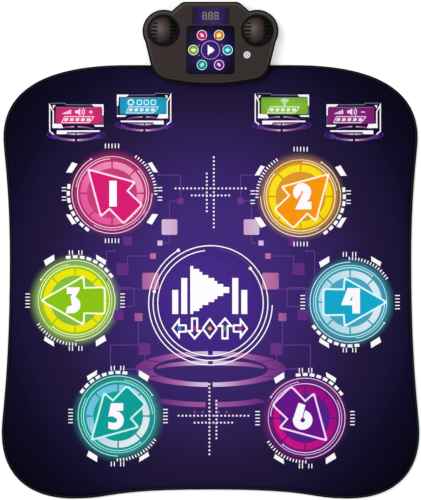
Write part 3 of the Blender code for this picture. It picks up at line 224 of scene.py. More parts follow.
def moulded_plastic(name, colour, roughness, grain_mm=0.9, worn="000000", sheen=0.5, heights=()):
    """Injection-moulded ABS from a spark-eroded tool: even, softly grained and slightly shiny.

    Heights are (millimetres above the floor, colour) pairs, for a housing whose colour follows its height,
    with painted shade and a painted highlight.
    """
    material, tree, shader = new_material(name, colour, roughness, IOR=1.53, Specular_IOR_Level=sheen)
    point = object_point(tree)
    broad = {"Vector": point, "Scale": 1 / (60.0 * MM), "Detail": 1.0}
    broad = add_node(tree, "ShaderNodeTexNoise", None, broad).outputs["Fac"]
    spread = {"Value": broad, "From Min": 0.3, "From Max": 0.7}
    share = add_node(tree, "ShaderNodeMapRange", None, {**spread, "To Min": 0.0, "To Max": 0.12})
    mix = {"Factor": share.outputs["Result"], 6: linear(colour), 7: linear(worn)}
    if heights:
        share = {"Fac": share_along(tree, (0, 0, 0), (0, 0, CONSOLE_TOP))}
        stops = [(z / CONSOLE_TOP, shade) for z, shade in heights]
        mix[6] = add_node(tree, "ShaderNodeValToRGB", None, share, stops).outputs["Color"]
    mix = add_node(tree, "ShaderNodeMix", {"data_type": "RGBA"}, mix)
    tree.links.new(mix.outputs[2], shader.inputs["Base Color"])
    uneven = {**spread, "To Min": roughness - 0.05, "To Max": roughness + 0.07}
    uneven = add_node(tree, "ShaderNodeMapRange", None, uneven)
    tree.links.new(uneven.outputs["Result"], shader.inputs["Roughness"])
    add_grain(tree, shader, point, grain_mm, 0.25, 0.15)
    return material


def mixed(first, second, share):
    """Two sRGB hex values mixed by share."""
    pairs = [(int(first[i : i + 2], 16), int(second[i : i + 2], 16)) for i in (0, 2, 4)]
    return "".join(f"{round(a + (b - a) * share):02X}" for a, b in pairs)


def soft_pvc(name, colour, roughness=0.6, grain_mm=1.2, strength=0.12, centre=(0, 0, 0)):
    """Printed soft PVC: even and slightly satin. Its grain is measured from centre."""
    material, tree, shader = new_material(name, colour, roughness, IOR=1.5, Specular_IOR_Level=0.03)
    add_grain(tree, shader, object_point(tree, centre), grain_mm, strength, 0.1)
    return material, tree, shader


def screen_ink(name, colour, glow=0.0):
    """Screen-printed ink of one colour, with a glow: light from behind on a lit window, a painted glow on
    the unlit cover.
    """
    material, _, shader = soft_pvc(name, colour)
    shader.inputs["Emission Color"].default_value = linear(colour)
    shader.inputs["Emission Strength"].default_value = glow
    return material


def across_ink(name, stops, middle, half_mm):
    """Screen-printed ink whose tint follows the distance from a line down the mat, with a faint painted
    glow.
    """
    material, tree, shader = soft_pvc(name, stops[0][1])
    share = share_out(tree, (middle, 0, 0), (half_mm, 0, 0))
    spread_tint(tree, shader, share, stops, 0.03)
    return material


def lit_film(name, centre, radii, stops, glow):
    """Milky PVC film, printed and lit from behind, whose tint follows the distance from its middle."""
    material, tree, shader = soft_pvc(name, stops[0][1], 0.5, 1.4, 0.1)
    spread_tint(tree, shader, share_out(tree, centre, radii), stops, glow)
    return material


def plain_finish(name, colour, roughness, grain_mm, bump=0.3, **shader_inputs):
    """A finish of one colour with a fine, slightly uneven surface."""
    material, tree, shader = new_material(name, colour, roughness, **shader_inputs)
    fine = add_grain(tree, shader, object_point(tree), grain_mm, bump, 0.2)
    dark = [c * 0.8 for c in linear(colour)[:3]] + [1.0]
    mix = {"Factor": fine, 6: dark, 7: linear(colour)}
    mix = add_node(tree, "ShaderNodeMix", {"data_type": "RGBA"}, mix)
    tree.links.new(mix.outputs[2], shader.inputs["Base Color"])
    return material


# Shapes, in millimetres


def mesh_from(name, shape):
    """A mesh from a bmesh, with its faces outwards."""
    bmesh.ops.recalc_face_normals(shape, faces=shape.faces)
    mesh = bpy.data.meshes.new(name)
    shape.to_mesh(mesh)
    shape.free()
    return mesh


def add_object(name, data):
    obj = bpy.data.objects.new(name, data)
    bpy.context.scene.collection.objects.link(obj)
    return obj


def finish_mesh(name, mesh, material, body, replaced=(), slot=None, angle=35, even=False):
    """Makes a piece from a mesh, with sharp edges past an angle, and lets it ride on its body."""
    mesh.shade_smooth()
    mesh.set_sharp_from_angle(angle=math.radians(angle))
    if even:
        mesh = even_normals(mesh)
    mesh.materials.clear()
    mesh.materials.append(material)
    obj = add_object(name, mesh)
    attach(obj, body)
    if replaced:
        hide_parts(*replaced)
    return obj


def finish_piece(name, shape, material, body, replaced=(), slot=None, angle=35):
    """Makes a piece from a bmesh."""
    return finish_mesh(name, mesh_from(name, shape), material, body, replaced, slot, angle)


def even_normals(mesh):
    """The mesh with normals led by its large faces, so that a flat top between holes reads flat."""
    obj = add_object(mesh.name, mesh)
    obj.modifiers.new("even normals", "WEIGHTED_NORMAL").keep_sharp = True
    return evaluated_copy(obj, mesh.name)


def evaluated_copy(obj, name):
    """The object's mesh with its modifiers applied. The object itself is removed."""
    graph = bpy.context.evaluated_depsgraph_get()
    mesh = bpy.data.meshes.new_from_object(obj.evaluated_get(graph))
    mesh.name = name
    bpy.data.objects.remove(obj)
    return mesh


def loft(rings, shape=None, closed=False):
    """A solid through rings of (points, height), from its underside round to its top."""
    shape = shape or bmesh.new()
    loops = []
    for points, height in rings:
        loops.append([shape.verts.new((x * MM, y * MM, height * MM)) for x, y in points])
    following = loops[1:] + loops[:1] if closed else loops[1:]
    for lower, upper in zip(loops, following):
        for i in range(len(lower)):
            j = (i + 1) % len(lower)
            shape.faces.new((lower[i], lower[j], upper[j], upper[i]))
    if not closed:
        shape.faces.new(loops[0][::-1])
        shape.faces.new(loops[-1])
    return shape


def slab(shape, points, low, high):
    """A flat shape of ink or sheet with square sides."""
    return loft([(points, low), (points, high)], shape)


def strip(shape, left, right, low, high, closed=False):
    """A flat strip between two rails of as many points each."""
    rows = []
    for a, b in zip(left, right):
        row = [(a, low), (b, low), (b, high), (a, high)]
        rows.append([shape.verts.new((p[0] * MM, p[1] * MM, z * MM)) for p, z in row])
    following = rows[1:] + rows[:1] if closed else rows[1:]
    for first, second in zip(rows, following):
        for i in range(4):
            j = (i + 1) % 4
            shape.faces.new((first[i], first[j], second[j], second[i]))
    if not closed:
        shape.faces.new(rows[0][::-1])
        shape.faces.new(rows[-1])
    return shape


def on_circle(x, y, radius, angle):
    """The point of a circle at an angle in degrees."""
    return (x + radius * math.cos(math.radians(angle)), y + radius * math.sin(math.radians(angle)))


def circle(radius, sides, x=0.0, y=0.0):
    return [on_circle(x, y, radius, 360 * i / sides) for i in range(sides)]


def rounded(length, width, radius, x=0.0, y=0.0, steps=6):
    """Points of a rectangle with round corners, anticlockwise."""
    points = []
    for corner, (sx, sy) in enumerate(((1, 1), (-1, 1), (-1, -1), (1, -1))):
        for i in range(steps + 1):
            angle = math.pi / 2 * (corner + i / steps)
            px = x + sx * (length / 2 - radius) + radius * math.cos(angle)
            py = y + sy * (width / 2 - radius) + radius * math.sin(angle)
            points.append((px, py))
    return points


def arc_points(x, y, radius, start, end, step=3.0):
    """Points along an arc. Angles are in degrees."""
    count = max(2, int(abs(end - start) / step) + 1)
    return [on_circle(x, y, radius, start + (end - start) * i / (count - 1)) for i in range(count)]


def arc_line(shape, x, y, radius, start, end, width, low, high):
    """A line of ink along an arc."""
    outer = arc_points(x, y, radius + width / 2, start, end)
    inner = arc_points(x, y, radius - width / 2, start, end)
    strip(shape, outer, inner, low, high)


def dot(shape, x, y, radius, low, high, sides=14):
    """A round dot of ink."""
    slab(shape, circle(radius, sides, x, y), low, high)


def line(shape, start, end, width, low, high):
    """A straight line of ink with square ends."""
    size = math.hypot(end[0] - start[0], end[1] - start[1])
    ax = -(end[1] - start[1]) / size * width / 2
    ay = (end[0] - start[0]) / size * width / 2
    points = [
        (start[0] - ax, start[1] - ay),
        (end[0] - ax, end[1] - ay),
        (end[0] + ax, end[1] + ay),
        (start[0] + ax, start[1] + ay),
    ]
    slab(shape, points, low, high)


def offset(points, distance):
    """A closed outline moved outwards by distance. The outline runs anticlockwise."""
    moved = []
    for i, point in enumerate(points):
        before, after = points[i - 1], points[(i + 1) % len(points)]
        first = (Vector(point) - Vector(before)).normalized()
        second = (Vector(after) - Vector(point)).normalized()
        out = Vector((first.y + second.y, -first.x - second.x)).normalized()
        reach_out = distance / max(0.3, out.dot(Vector((first.y, -first.x))))
        moved.append((point[0] + out.x * reach_out, point[1] + out.y * reach_out))
    return moved


def soften(points, radius, steps=4):
    """A closed outline with its outer corners rounded. The notches stay nearly sharp."""
    found = []
    way = sum(a[0] * b[1] - b[0] * a[1] for a, b in zip(points, [*points[1:], points[0]]))
    for i, point in enumerate(points):
        here = Vector(point)
        back = (Vector(points[i - 1]) - here).normalized()
        on = (Vector(points[(i + 1) % len(points)]) - here).normalized()
        is_notch = (back.x * on.y - back.y * on.x) * way > 0
        size = min(radius, 0.6) if is_notch else radius
        start, end = here + back * size, here + on * size
        for k in range(steps + 1):
            t = k / steps
            found.append(tuple((1 - t) ** 2 * start + 2 * t * (1 - t) * here + t * t * end))
    return found


def outline_line(shape, points, width, radius, low, high):
    """A line of ink round a closed outline with soft corners."""
    outer = soften(offset(points, width / 2), radius + width / 2)
    inner = soften(offset(points, -width / 2), radius)
    strip(shape, outer, inner, low, high, closed=True)


def moved(points, x, y, scale=1.0, turn=0.0, flip=1):
    """Points scaled, flipped top to bottom where flip is -1, turned by degrees and then shifted."""
    c, s = math.cos(math.radians(turn)) * scale, math.sin(math.radians(turn)) * scale
    return [(x + px * c - flip * py * s, y + px * s + flip * py * c) for px, py in points]


# Outlines of the mat and the console, as in the part but with finer curves


def bezier(start, leave, arrive, end, steps):
    """Points of a curve, each with its outward normal. The end point is left to the next curve."""
    found = []
    for i in range(steps):
        t = i / steps
        s = 1 - t
        point, slope = [], []
        for a, b, c, d in zip(start, leave, arrive, end):
            point.append(s**3 * a + 3 * s * s * t * b + 3 * s * t * t * c + t**3 * d)
            slope.append(3 * s * s * (b - a) + 6 * s * t * (c - b) + 3 * t * t * (d - c))
        size = math.hypot(*slope)
        found.append((point, (slope[1] / size, -slope[0] / size)))
    return found


def mat_outline(inset, fine=3):
    """The mat's outline drawn in by inset, anticlockwise."""
    half, low, high = MAT_HALF, MAT_LOW_Y, MAT_HIGH_Y
    bottom = (0.0, low + 19.5)
    lobe = (half - 154, low)
    flare = (half, low + 143.1)
    waist = (half - 17.5, low + 514.2)
    shoulder = (half - 3.7, high - 155.9)
    brow = (half - 269.8, high)
    curves = (
        (bottom, (228.2, bottom[1]), (lobe[0] - 88.6, low), lobe, 4),
        (lobe, (lobe[0] + 78.7, low), (half, flare[1] - 107.8), flare, 8),
        (flare, (half, flare[1] + 36.8), (waist[0], waist[1] - 239), waist, 4),
        (waist, (waist[0], waist[1] + 161.3), (shoulder[0], shoulder[1] - 32.9), shoulder, 4),
        (shoulder, (shoulder[0], shoulder[1] + 92.8), (brow[0] + 190.8, high), brow, 9),
        (brow, (brow[0] / 2, high), (brow[0] / 2, high), (0.0, high), 1),
    )
    along = [place for *curve, steps in curves for place in bezier(*curve, steps * fine)]
    along.append(((0.0, high), (0.0, 1.0)))
    right = [(p[0] - inset * n[0], p[1] - inset * n[1]) for p, n in along]
    return right + [(-x, y) for x, y in right[-2:0:-1]]


def meet_circle(point, direction, centre, radius):
    """The nearer place where a line through point meets a circle."""
    x, y = point[0] - centre[0], point[1] - centre[1]
    half = x * direction[0] + y * direction[1]
    along = -half - math.sqrt(half * half - (x * x + y * y - radius * radius))
    return (point[0] + along * direction[0], point[1] + along * direction[1])


def console_outline(inset, fine=3):
    """The console's outline drawn in by inset, anticlockwise from the middle of the chin."""
    chin_round, jaw_round, ear_round, brow_round = 450, 42, 46, 16
    cheek_half, brow_half = 128.6, 60.5
    lean_angle, fall_angle = 13.6, 40.5
    chin, ear = (0.0, CONSOLE_LOW_Y + chin_round), (100.5, CONSOLE_HIGH_Y - 63)
    lean, fall = math.radians(lean_angle), math.radians(fall_angle)
    up, inward = (math.sin(lean), math.cos(lean)), (-math.cos(lean), math.sin(lean))
    down = (math.cos(fall), -math.sin(fall))
    cheek = (cheek_half + inset * inward[0], MAT_HIGH_Y + inset * inward[1])
    on_jaw = (cheek_half + jaw_round * inward[0], MAT_HIGH_Y + jaw_round * inward[1])
    jaw = meet_circle(on_jaw, up, chin, chin_round - jaw_round)
    brow = (brow_half - brow_round * math.tan(fall / 2), CONSOLE_HIGH_Y - brow_round)
    rest = brow_round - inset
    slope = (brow[0] + rest * math.sin(fall), brow[1] + rest * math.cos(fall))
    ear_low = meet_circle(cheek, up, ear, ear_round - inset)
    ear_high = meet_circle(slope, down, ear, ear_round - inset)

    def heading(centre, point):
        return math.degrees(math.atan2(point[1] - centre[1], point[0] - centre[0]))

    def arc(centre, radius, start, end, count):
        return arc_points(*centre, radius, start, end, abs(end - start) / (count + 0.01))

    chin_end = heading(chin, jaw)
    right = arc(chin, chin_round - inset, -90, chin_end, 4 * fine)
    right += arc(jaw, jaw_round - inset, chin_end, -lean_angle, 5 * fine)[1:]
    right += arc(ear, ear_round - inset, heading(ear, ear_low), heading(ear, ear_high), 12 * fine)
    right += arc(brow, rest, 90 - fall_angle, 90, 3 * fine)
    return right + [(-x, y) for x, y in right[:0:-1]]


def add_helper(name, shape):
    return add_object(name, mesh_from(name, shape))


def cut(obj, helper, operation="DIFFERENCE"):
    """Adds a Boolean with a helper, which is removed with the others after the piece is made."""
    modifier = obj.modifiers.new(helper.name, "BOOLEAN")
    modifier.operation = operation
    modifier.solver = "EXACT"
    modifier.object = helper


def soften_edges(obj, radius):
    """Rounds the sharp edges by a radius in metres."""
    bevel = obj.modifiers.new("soft edges", "BEVEL")
    bevel.width = radius
    bevel.segments = 2
    bevel.limit_method = "ANGLE"
    bevel.angle_limit = math.radians(50)


def clear_helpers(helpers):
    for helper in helpers:
        bpy.data.objects.remove(helper)


def console_notch(with_tongue):
    """Clears the mat from the console's lower shell, apart from the tongue inside it."""
    outline = console_outline(0.2)
    helpers = [add_helper("notch", loft([(outline, -9.0), (outline, 25.0)]))]
    if with_tongue:
        box = rounded(190.0, 120.0, 0.5, 0.0, MAT_HIGH_Y - 80.5, 1)
        helpers.append(add_helper("tongue", loft([(box, -15.0), (box, 40.0)])))
        cut(helpers[0], helpers[1])
    return helpers


# Repeated marks, made by geometry nodes


def socket_of(tree, name):
    """The identifier of a node group's input."""
    for item in tree.interface.items_tree:
        if item.item_type == "SOCKET" and item.in_out == "INPUT" and item.name == name:
            return item.identifier
    raise RuntimeError(f"{tree.name} has no input named {name}")


def new_tree(name, inputs):
    """A geometry node group with its inputs, as (name, kind, default)."""
    tree = bpy.data.node_groups.new(name, "GeometryNodeTree")
    tree.interface.new_socket("Geometry", in_out="INPUT", socket_type="NodeSocketGeometry")
    tree.interface.new_socket("Geometry", in_out="OUTPUT", socket_type="NodeSocketGeometry")
    for label, kind, default in inputs:
        item = tree.interface.new_socket(label, in_out="INPUT", socket_type="NodeSocket" + kind)
        if default is not None:
            item.default_value = default
    return tree, add_node(tree, "NodeGroupInput"), add_node(tree, "NodeGroupOutput")


def place_marks(tree, given, out, marks):
    """Ends a node group: marks on points, made real and given their material."""
    placed = add_node(tree, "GeometryNodeInstanceOnPoints", None, marks).outputs["Instances"]
    real = add_node(tree, "GeometryNodeRealizeInstances", None, {"Geometry": placed}).outputs["Geometry"]
    painted = {"Geometry": real, "Material": given["Material"]}
    painted = add_node(tree, "GeometryNodeSetMaterial", None, painted).outputs["Geometry"]
    tree.links.new(painted, out.inputs["Geometry"])
    return tree


def marks_tree():
    """Marks set at an even pitch along a curve, square like ink or round like thread."""
    inputs = [
        ("Pitch", "Float", 0.004),
        ("Mark size", "Vector", (0.003, 0.001, 0.0004)),
        ("Round", "Bool", False),
        ("Material", "Material", None),
    ]
    tree, given, out = new_tree("marks_along_curve", inputs)
    given = given.outputs
    points = {"Curve": given["Geometry"], "Length": given["Pitch"]}
    points = add_node(tree, "GeometryNodeResampleCurve", {"mode": "LENGTH"}, points).outputs["Curve"]
    cube = add_node(tree, "GeometryNodeMeshCube").outputs["Mesh"]
    ball = add_node(tree, "GeometryNodeMeshIcoSphere", None, {"Radius": 0.5, "Subdivisions": 1})
    kind = {"Switch": given["Round"], "False": cube, "True": ball.outputs["Mesh"]}
    mark = add_node(tree, "GeometryNodeSwitch", {"input_type": "GEOMETRY"}, kind).outputs["Output"]
    turn = {"Vector": add_node(tree, "GeometryNodeInputTangent").outputs["Tangent"]}
    turn = add_node(tree, "FunctionNodeAlignRotationToVector", {"axis": "X"}, turn).outputs["Rotation"]
    marks = {"Points": points, "Instance": mark, "Rotation": turn, "Scale": given["Mark size"]}
    return place_marks(tree, given, out, marks)


def dots_tree():
    """Round studs on a square grid, wherever the sheet given as Field lies above them."""
    inputs = [
        ("Field", "Object", None),
        ("Width", "Float", 0.9),
        ("Length", "Float", 0.9),
        ("Pitch", "Float", 0.014),
        ("Centre", "Vector", (0.0, 0.0, 0.0)),
        ("Dot size", "Vector", (0.005, 0.005, 0.001)),
        ("Material", "Material", None),
    ]
    tree, given, out = new_tree("studs_on_grid", inputs)
    given = given.outputs
    grid = {}
    for axis, size in (("X", given["Width"]), ("Y", given["Length"])):
        share = {0: size, 1: given["Pitch"]}
        share = add_node(tree, "ShaderNodeMath", {"operation": "DIVIDE"}, share).outputs["Value"]
        count = add_node(tree, "ShaderNodeMath", {"operation": "FLOOR"}, {0: share}).outputs["Value"]
        grid["Size " + axis] = size
        grid["Vertices " + axis] = count
    grid = {"Geometry": add_node(tree, "GeometryNodeMeshGrid", None, grid).outputs["Mesh"]}
    grid = add_node(tree, "GeometryNodeTransform", None, {**grid, "Translation": given["Centre"]})
    field = add_node(tree, "GeometryNodeObjectInfo", None, {"Object": given["Field"]})
    ray = {"Target Geometry": field.outputs["Geometry"], "Ray Direction": (0, 0, 1), "Ray Length": 1.0}
    over = add_node(tree, "GeometryNodeRaycast", None, ray).outputs["Is Hit"]
    ball = add_node(tree, "GeometryNodeMeshIcoSphere", None, {"Radius": 0.5, "Subdivisions": 1})
    marks = {"Points": grid.outputs["Geometry"], "Selection": over, "Instance": ball.outputs["Mesh"]}
    return place_marks(tree, given, out, {**marks, "Scale": given["Dot size"]})


def run_tree(obj, tree, values):
    """Runs a node group on an object and returns the plain mesh that it makes."""
    modifier = obj.modifiers.new(tree.name, "NODES")
    modifier.node_group = tree
    for name, value in values.items():
        modifier[socket_of(tree, name)] = value
    return evaluated_copy(obj, tree.name)


def marks_along(name, paths, pitch_mm, size_mm, material, body, is_round=False):
    """Marks along paths of points (x, y, z) in millimetres, as one piece."""
    curve = bpy.data.curves.new(name, "CURVE")
    curve.dimensions = "3D"
    for path in paths:
        spline = curve.splines.new("POLY")
        spline.points.add(len(path) - 1)
        for point, (x, y, z) in zip(spline.points, path):
            point.co = (x * MM, y * MM, z * MM, 1.0)
    obj = add_object(name, curve)
    tree = bpy.data.node_groups.get("marks_along_curve") or marks_tree()
    values = {
        "Pitch": pitch_mm * MM,
        "Mark size": [s * MM for s in size_mm],
        "Round": is_round,
        "Material": material,
    }
    return finish_mesh(name, run_tree(obj, tree, values), material, body)


# Settings


class MatSettings(bpy.types.PropertyGroup):
    """Fabric, tape and underside of the mat."""

    middle_colour: FloatVectorProperty(
        name="Middle colour",
        description="Purple in the middle of the printed cover",
        subtype="COLOR",
        default=linear("472A87")[:3],
    )
    thread_pitch: FloatProperty(
        name="Thread pitch", description="Spacing of the weave", default=0.0022, unit="LENGTH"
    )
    stitch_pitch: FloatProperty(
        name="Stitch pitch", description="Spacing of the tape's stitches", default=0.0045, unit="LENGTH"
    )
    stud_pitch: FloatProperty(
        name="Stud pitch", description="Spacing of the anti-slip studs", default=0.014, unit="LENGTH"
    )


class PrintSettings(bpy.types.PropertyGroup):
    """Printed pads, keys and figures."""

    line_width: FloatProperty(
        name="Line width", description="Width of the rings round each pad", default=0.0021, unit="LENGTH"
    )
    ink_height: FloatProperty(
        name="Ink height", description="Thickness of the printed ink", default=0.0001, unit="LENGTH"
    )
    glow: FloatProperty(
        name="Glow", description="How strongly the pads are lit from behind", default=0.06, min=0.0
    )
    halo: FloatProperty(
        name="Halo", description="Width of the printed glow round a pad", default=0.02, unit="LENGTH"
    )


class ConsoleSettings(bpy.types.PropertyGroup):
    """Moulded housing of the console."""

    shell_colour: FloatVectorProperty(
        name="Shell colour",
        description="Colour of the housing's flat top",
        subtype="COLOR",
        default=linear("352C2B")[:3],
    )
    curve_steps: IntProperty(
        name="Curve steps", description="How finely the housing's outline is divided", default=4, min=1
    )
    edge_round: FloatProperty(
        name="Edge radius", description="Rounding of the openings' edges", default=0.0005, unit="LENGTH"
    )


class StageSettings(bpy.types.PropertyGroup):
    """Camera, lamps and floor."""

    camera_height: FloatProperty(
        name="Camera height", description="Camera above the floor", default=10.476, unit="LENGTH"
    )
    lens: FloatProperty(
        name="Lens", description="Focal length of the camera", default=350.0, unit="CAMERA"
    )
    key_power: FloatProperty(
        name="Key power", description="Power of the lamp at the upper left", default=156.0, unit="POWER"
    )
    fill_power: FloatProperty(
        name="Fill power", description="Power of the lamp at the lower right", default=52.0, unit="POWER"
    )
    softbox_power: FloatProperty(
        name="Softbox power", description="Power of the lamp over the console", default=5.0, unit="POWER"
    )
    sky_overhead: FloatProperty(
        name="Sky overhead", description="Level of the sky straight above", default=0.08, min=0.0
    )
    floor_lift: FloatProperty(
        name="Floor lift", description="Glow of the paper as the camera sees it", default=0.35, min=0.0
    )


# Pieces


def cover_material(settings, print_settings):
    """Polyester laminated on foam and printed all over: soft, nearly matt, with a fine weave.

    The print runs from purple in the middle to near black at the edge, with a glow round each pad.
    """
    material, tree, shader = new_material(
        "printed_polyester", "2A1C5A", 0.8, IOR=1.5, Specular_IOR_Level=0.04
    )
    x, y, _ = spot("start_window")
    stops = [(0.0, (*settings.middle_colour, 1.0)), (0.23, "432A7C"), (0.42, "33215F"), (0.577, "23173F")]
    stops += [(0.677, "1A1339"), (0.769, "0E0928"), (0.923, "050212")]
    share = {"Fac": share_out(tree, (x, y + 40, 0), (598, 676, 0))}
    colour = add_node(tree, "ShaderNodeValToRGB", None, share, stops).outputs["Color"]
    for name, (halo, level, wide) in HALOS.items():
        edge = reach(name + "_window")
        away = {"Value": share_out(tree, (*spot(name + "_window")[:2], COVER_TOP), (edge, edge, edge))}
        away.update({"From Min": 1.0, "From Max": 1.0 + wide * print_settings.halo / (edge * MM)})
        away.update({"To Min": math.sqrt(level), "To Max": 0.0})
        fade = {0: add_node(tree, "ShaderNodeMapRange", None, away).outputs["Result"], 1: 2.0}
        fade = add_node(tree, "ShaderNodeMath", {"operation": "POWER"}, fade).outputs["Value"]
        mix = {"Factor": fade, 6: colour, 7: linear(halo)}
        colour = add_node(tree, "ShaderNodeMix", {"data_type": "RGBA"}, mix).outputs[2]
    tree.links.new(colour, shader.inputs["Base Color"])
    # Real thread is about 0.2 mm apart. It is drawn ten times as coarse, to show from a metre.
    point = object_point(tree)
    waves = {}
    for k, direction in enumerate(("X", "Y")):
        wave = {"Vector": point, "Scale": math.pi / 10 / settings.thread_pitch, "Distortion": 0.4}
        waves[k] = add_node(tree, "ShaderNodeTexWave", {"bands_direction": direction}, wave).outputs["Fac"]
    weave = add_node(tree, "ShaderNodeMath", {"operation": "MAXIMUM"}, waves).outputs["Value"]
    # The fabric lies over foam in soft swells, 90 mm across
    swell = {"Vector": point, "Scale": 1 / (90.0 * MM), "Detail": 1.0}
    swell = add_node(tree, "ShaderNodeTexNoise", None, swell).outputs["Fac"]
    height = {0: swell, 1: 14.0, 2: weave}
    height = add_node(tree, "ShaderNodeMath", {"operation": "MULTIPLY_ADD"}, height).outputs["Value"]
    relief = {"Height": height, "Strength": 0.24, "Distance": 0.12 * MM}
    relief = add_node(tree, "ShaderNodeBump", None, relief).outputs["Normal"]
    tree.links.new(relief, shader.inputs["Normal"])
    return material


class DANCEMAT_OT_cover(bpy.types.Operator):
    """Make the printed cover with its rolled rim and its openings"""

    bl_idname = "dance_mat.cover"
    bl_label = "Printed cover"

    def execute(self, context):
        # A flat hem under the tape, and then a rim that rolls up through a quarter turn to the flat top
        rim_width, rim_rise = 13.0, 8.2
        hem_low, hem_high = 2.1, 3.3
        under, over = [], []
        for step in range(7):
            a = math.radians(15 * step)
            inward, rise = rim_width * (1 - math.cos(a)), rim_rise * math.sin(a)
            under.append((mat_outline(8.2 + inward), hem_low + rise))
            over.append((mat_outline(7.0 + inward), hem_high + rise))
        edge = mat_outline(1.1)
        shape = loft(under[::-1] + [(edge, hem_low), (edge, hem_high)] + over)
        cover = add_helper("cover", shape)
        holes = bmesh.new()
        for name in (*PAD_INKS, "start"):
            x, y, _ = spot(name + "_window")
            slab(holes, circle(reach(name + "_window") + GAP, 128, x, y), 5.0, 20.0)
        for name in KEY_INKS:
            x, y, _ = spot(name + "_key")
            length, wide = key_size(name)
            slab(holes, rounded(length + 2 * GAP, wide + 2 * GAP, 3.0 + GAP, x, y), 5.0, 20.0)
        # Two holes in the tongue, which clear the bosses of the console's lower screws
        for side in (-1, 1):
            slab(holes, circle(4.6, 24, side * 70.0, CONSOLE_LOW_Y + 17.5), -3.0, 20.0)
        helpers = console_notch(True) + [add_helper("openings", holes)]
        cut(cover, helpers[0])
        cut(cover, helpers[-1])
        mesh = evaluated_copy(cover, "cover")
        clear_helpers(helpers)
        material = cover_material(context.scene.dance_mat, context.scene.dance_mat_print)
        replaced = ["cover_sheet"]
        piece = finish_mesh("printed_cover", mesh, material, "mat", replaced, "printed_fabric", 30, True)
        return {"FINISHED"}


class DANCEMAT_OT_base(bpy.types.Operator):
    """Make the anti-slip underside with its grid of studs"""

    bl_idname = "dance_mat.base"
    bl_label = "Anti-slip base"

    def execute(self, context):
        # Non-woven backing dotted with soft PVC: dull, and grippy to the touch.
        backing = plain_finish("dotted_backing", "202024", 0.92, 1.6, 0.5, Sheen_Weight=0.1)
        # A step under the edge leaves room for the tape's lower fold
        rings = [(6.3, 0.45), (6.3, 1.15), (1.1, 1.15), (1.1, 1.8)]
        sheet = add_helper("base", loft([(mat_outline(inset), z) for inset, z in rings]))
        helpers = console_notch(False)
        cut(sheet, helpers[0])
        mesh = evaluated_copy(sheet, "base")
        clear_helpers(helpers)
        base = finish_mesh("anti_slip_sheet", mesh, backing, "mat", ["anti_slip_base"], "dotted_rubber")
        field = loft([(mat_outline(13.0, 1), 50.0), (mat_outline(13.0, 1), 52.0)])
        field = add_helper("stud_field", field)
        helpers = console_notch(False)
        # The notch is widened, so that no stud touches the console, and made tall enough for the field
        widen = 1.04
        helpers[0].data.transform(((widen, 0, 0, 0), (0, widen, 0, -0.014), (0, 0, 8.0, 0), (0, 0, 0, 1)))
        cut(field, helpers[0])
        seed = add_object("studs", bpy.data.meshes.new("studs"))
        stud = (0.005, 0.005, 0.0009)
        # PVC studs, moulded on with a soft shine.
        studs = plain_finish("pvc_studs", "16161A", 0.45, 3.0, 0.1)
        values = {
            "Field": field,
            "Width": 2 * MAT_HALF * MM,
            "Length": (MAT_HIGH_Y - MAT_LOW_Y) * MM,
            "Pitch": context.scene.dance_mat.stud_pitch,
            "Centre": (0.0, (MAT_HIGH_Y + MAT_LOW_Y) / 2 * MM, 0.0),
            "Dot size": stud,
            "Material": studs,
        }
        mesh = run_tree(seed, dots_tree(), values)
        for vertex in mesh.vertices:
            vertex.co.z += stud[2] / 2
        clear_helpers([*helpers, field])
        studs = finish_mesh("anti_slip_studs", mesh, studs, "mat", angle=80)
        return {"FINISHED"}


class DANCEMAT_OT_binding(bpy.types.Operator):
    """Make the folded tape round the edge, with its row of stitches"""

    bl_idname = "dance_mat.binding"
    bl_label = "Edge binding"

    def execute(self, context):
        # Woven polyester tape: dull black, with a rib across its width.
        tape, tree, shader = new_material("woven_tape", "07060E", 0.85, IOR=1.5, Specular_IOR_Level=0.15)
        point = object_point(tree)
        rib = {"Vector": point, "Scale": 1 / (1.4 * MM)}
        rib = add_node(tree, "ShaderNodeTexVoronoi", None, rib).outputs["Distance"]
        relief = {"Height": rib, "Strength": 0.35, "Distance": 0.25 * MM}
        relief = add_node(tree, "ShaderNodeBump", None, relief).outputs["Normal"]
        tree.links.new(relief, shader.inputs["Normal"])
        spread_tint(tree, shader, rib, [(0.0, "0B0A16"), (0.7, "040309")])
        # Section of the folded tape: how far it is drawn in from the edge, and its height
        profile = [(0.35, 0.1), (0.0, 0.5), (0.0, 3.8), (0.35, 4.2), (5.2, 4.2), (5.5, 3.9), (5.3, 3.6)]
        profile += [(0.8, 3.6), (0.8, 0.7), (5.3, 0.7), (5.5, 0.4), (5.3, 0.1)]
        shape = loft([(mat_outline(inset), z) for inset, z in profile], closed=True)
        binding = add_helper("binding", shape)
        helpers = console_notch(False)
        cut(binding, helpers[0])
        mesh = evaluated_copy(binding, "binding")
        clear_helpers(helpers)
        piece = finish_mesh("binding_tape", mesh, tape, "mat", ["edge_binding"], "binding_tape", 50)
        # Polyester thread, a little lighter than the tape so that it reads.
        thread = plain_finish("polyester_thread", "3A3454", 0.6, 0.8, 0.2)
        route = mat_outline(3.9)
        # The seam starts and ends where the console covers the tape
        covered = [i for i, (x, y) in enumerate(route) if y > MAT_HIGH_Y - 12 and abs(x) < 134.0]
        seam = [(x, y, 4.25) for x, y in route[covered[-1] + 1 :] + route[: covered[0]]]
        pitch = context.scene.dance_mat.stitch_pitch / MM
        size = (pitch * 0.75, 0.7, 0.4)
        stitches = marks_along("binding_stitches", [seam], pitch, size, thread, "mat", True)
        return {"FINISHED"}


def from_photo(across, down):
    """The place on the mat of a point in the photograph, in millimetres."""
    return ((across - 210.5) * PX, (250.0 - down) * PX + 0.75)


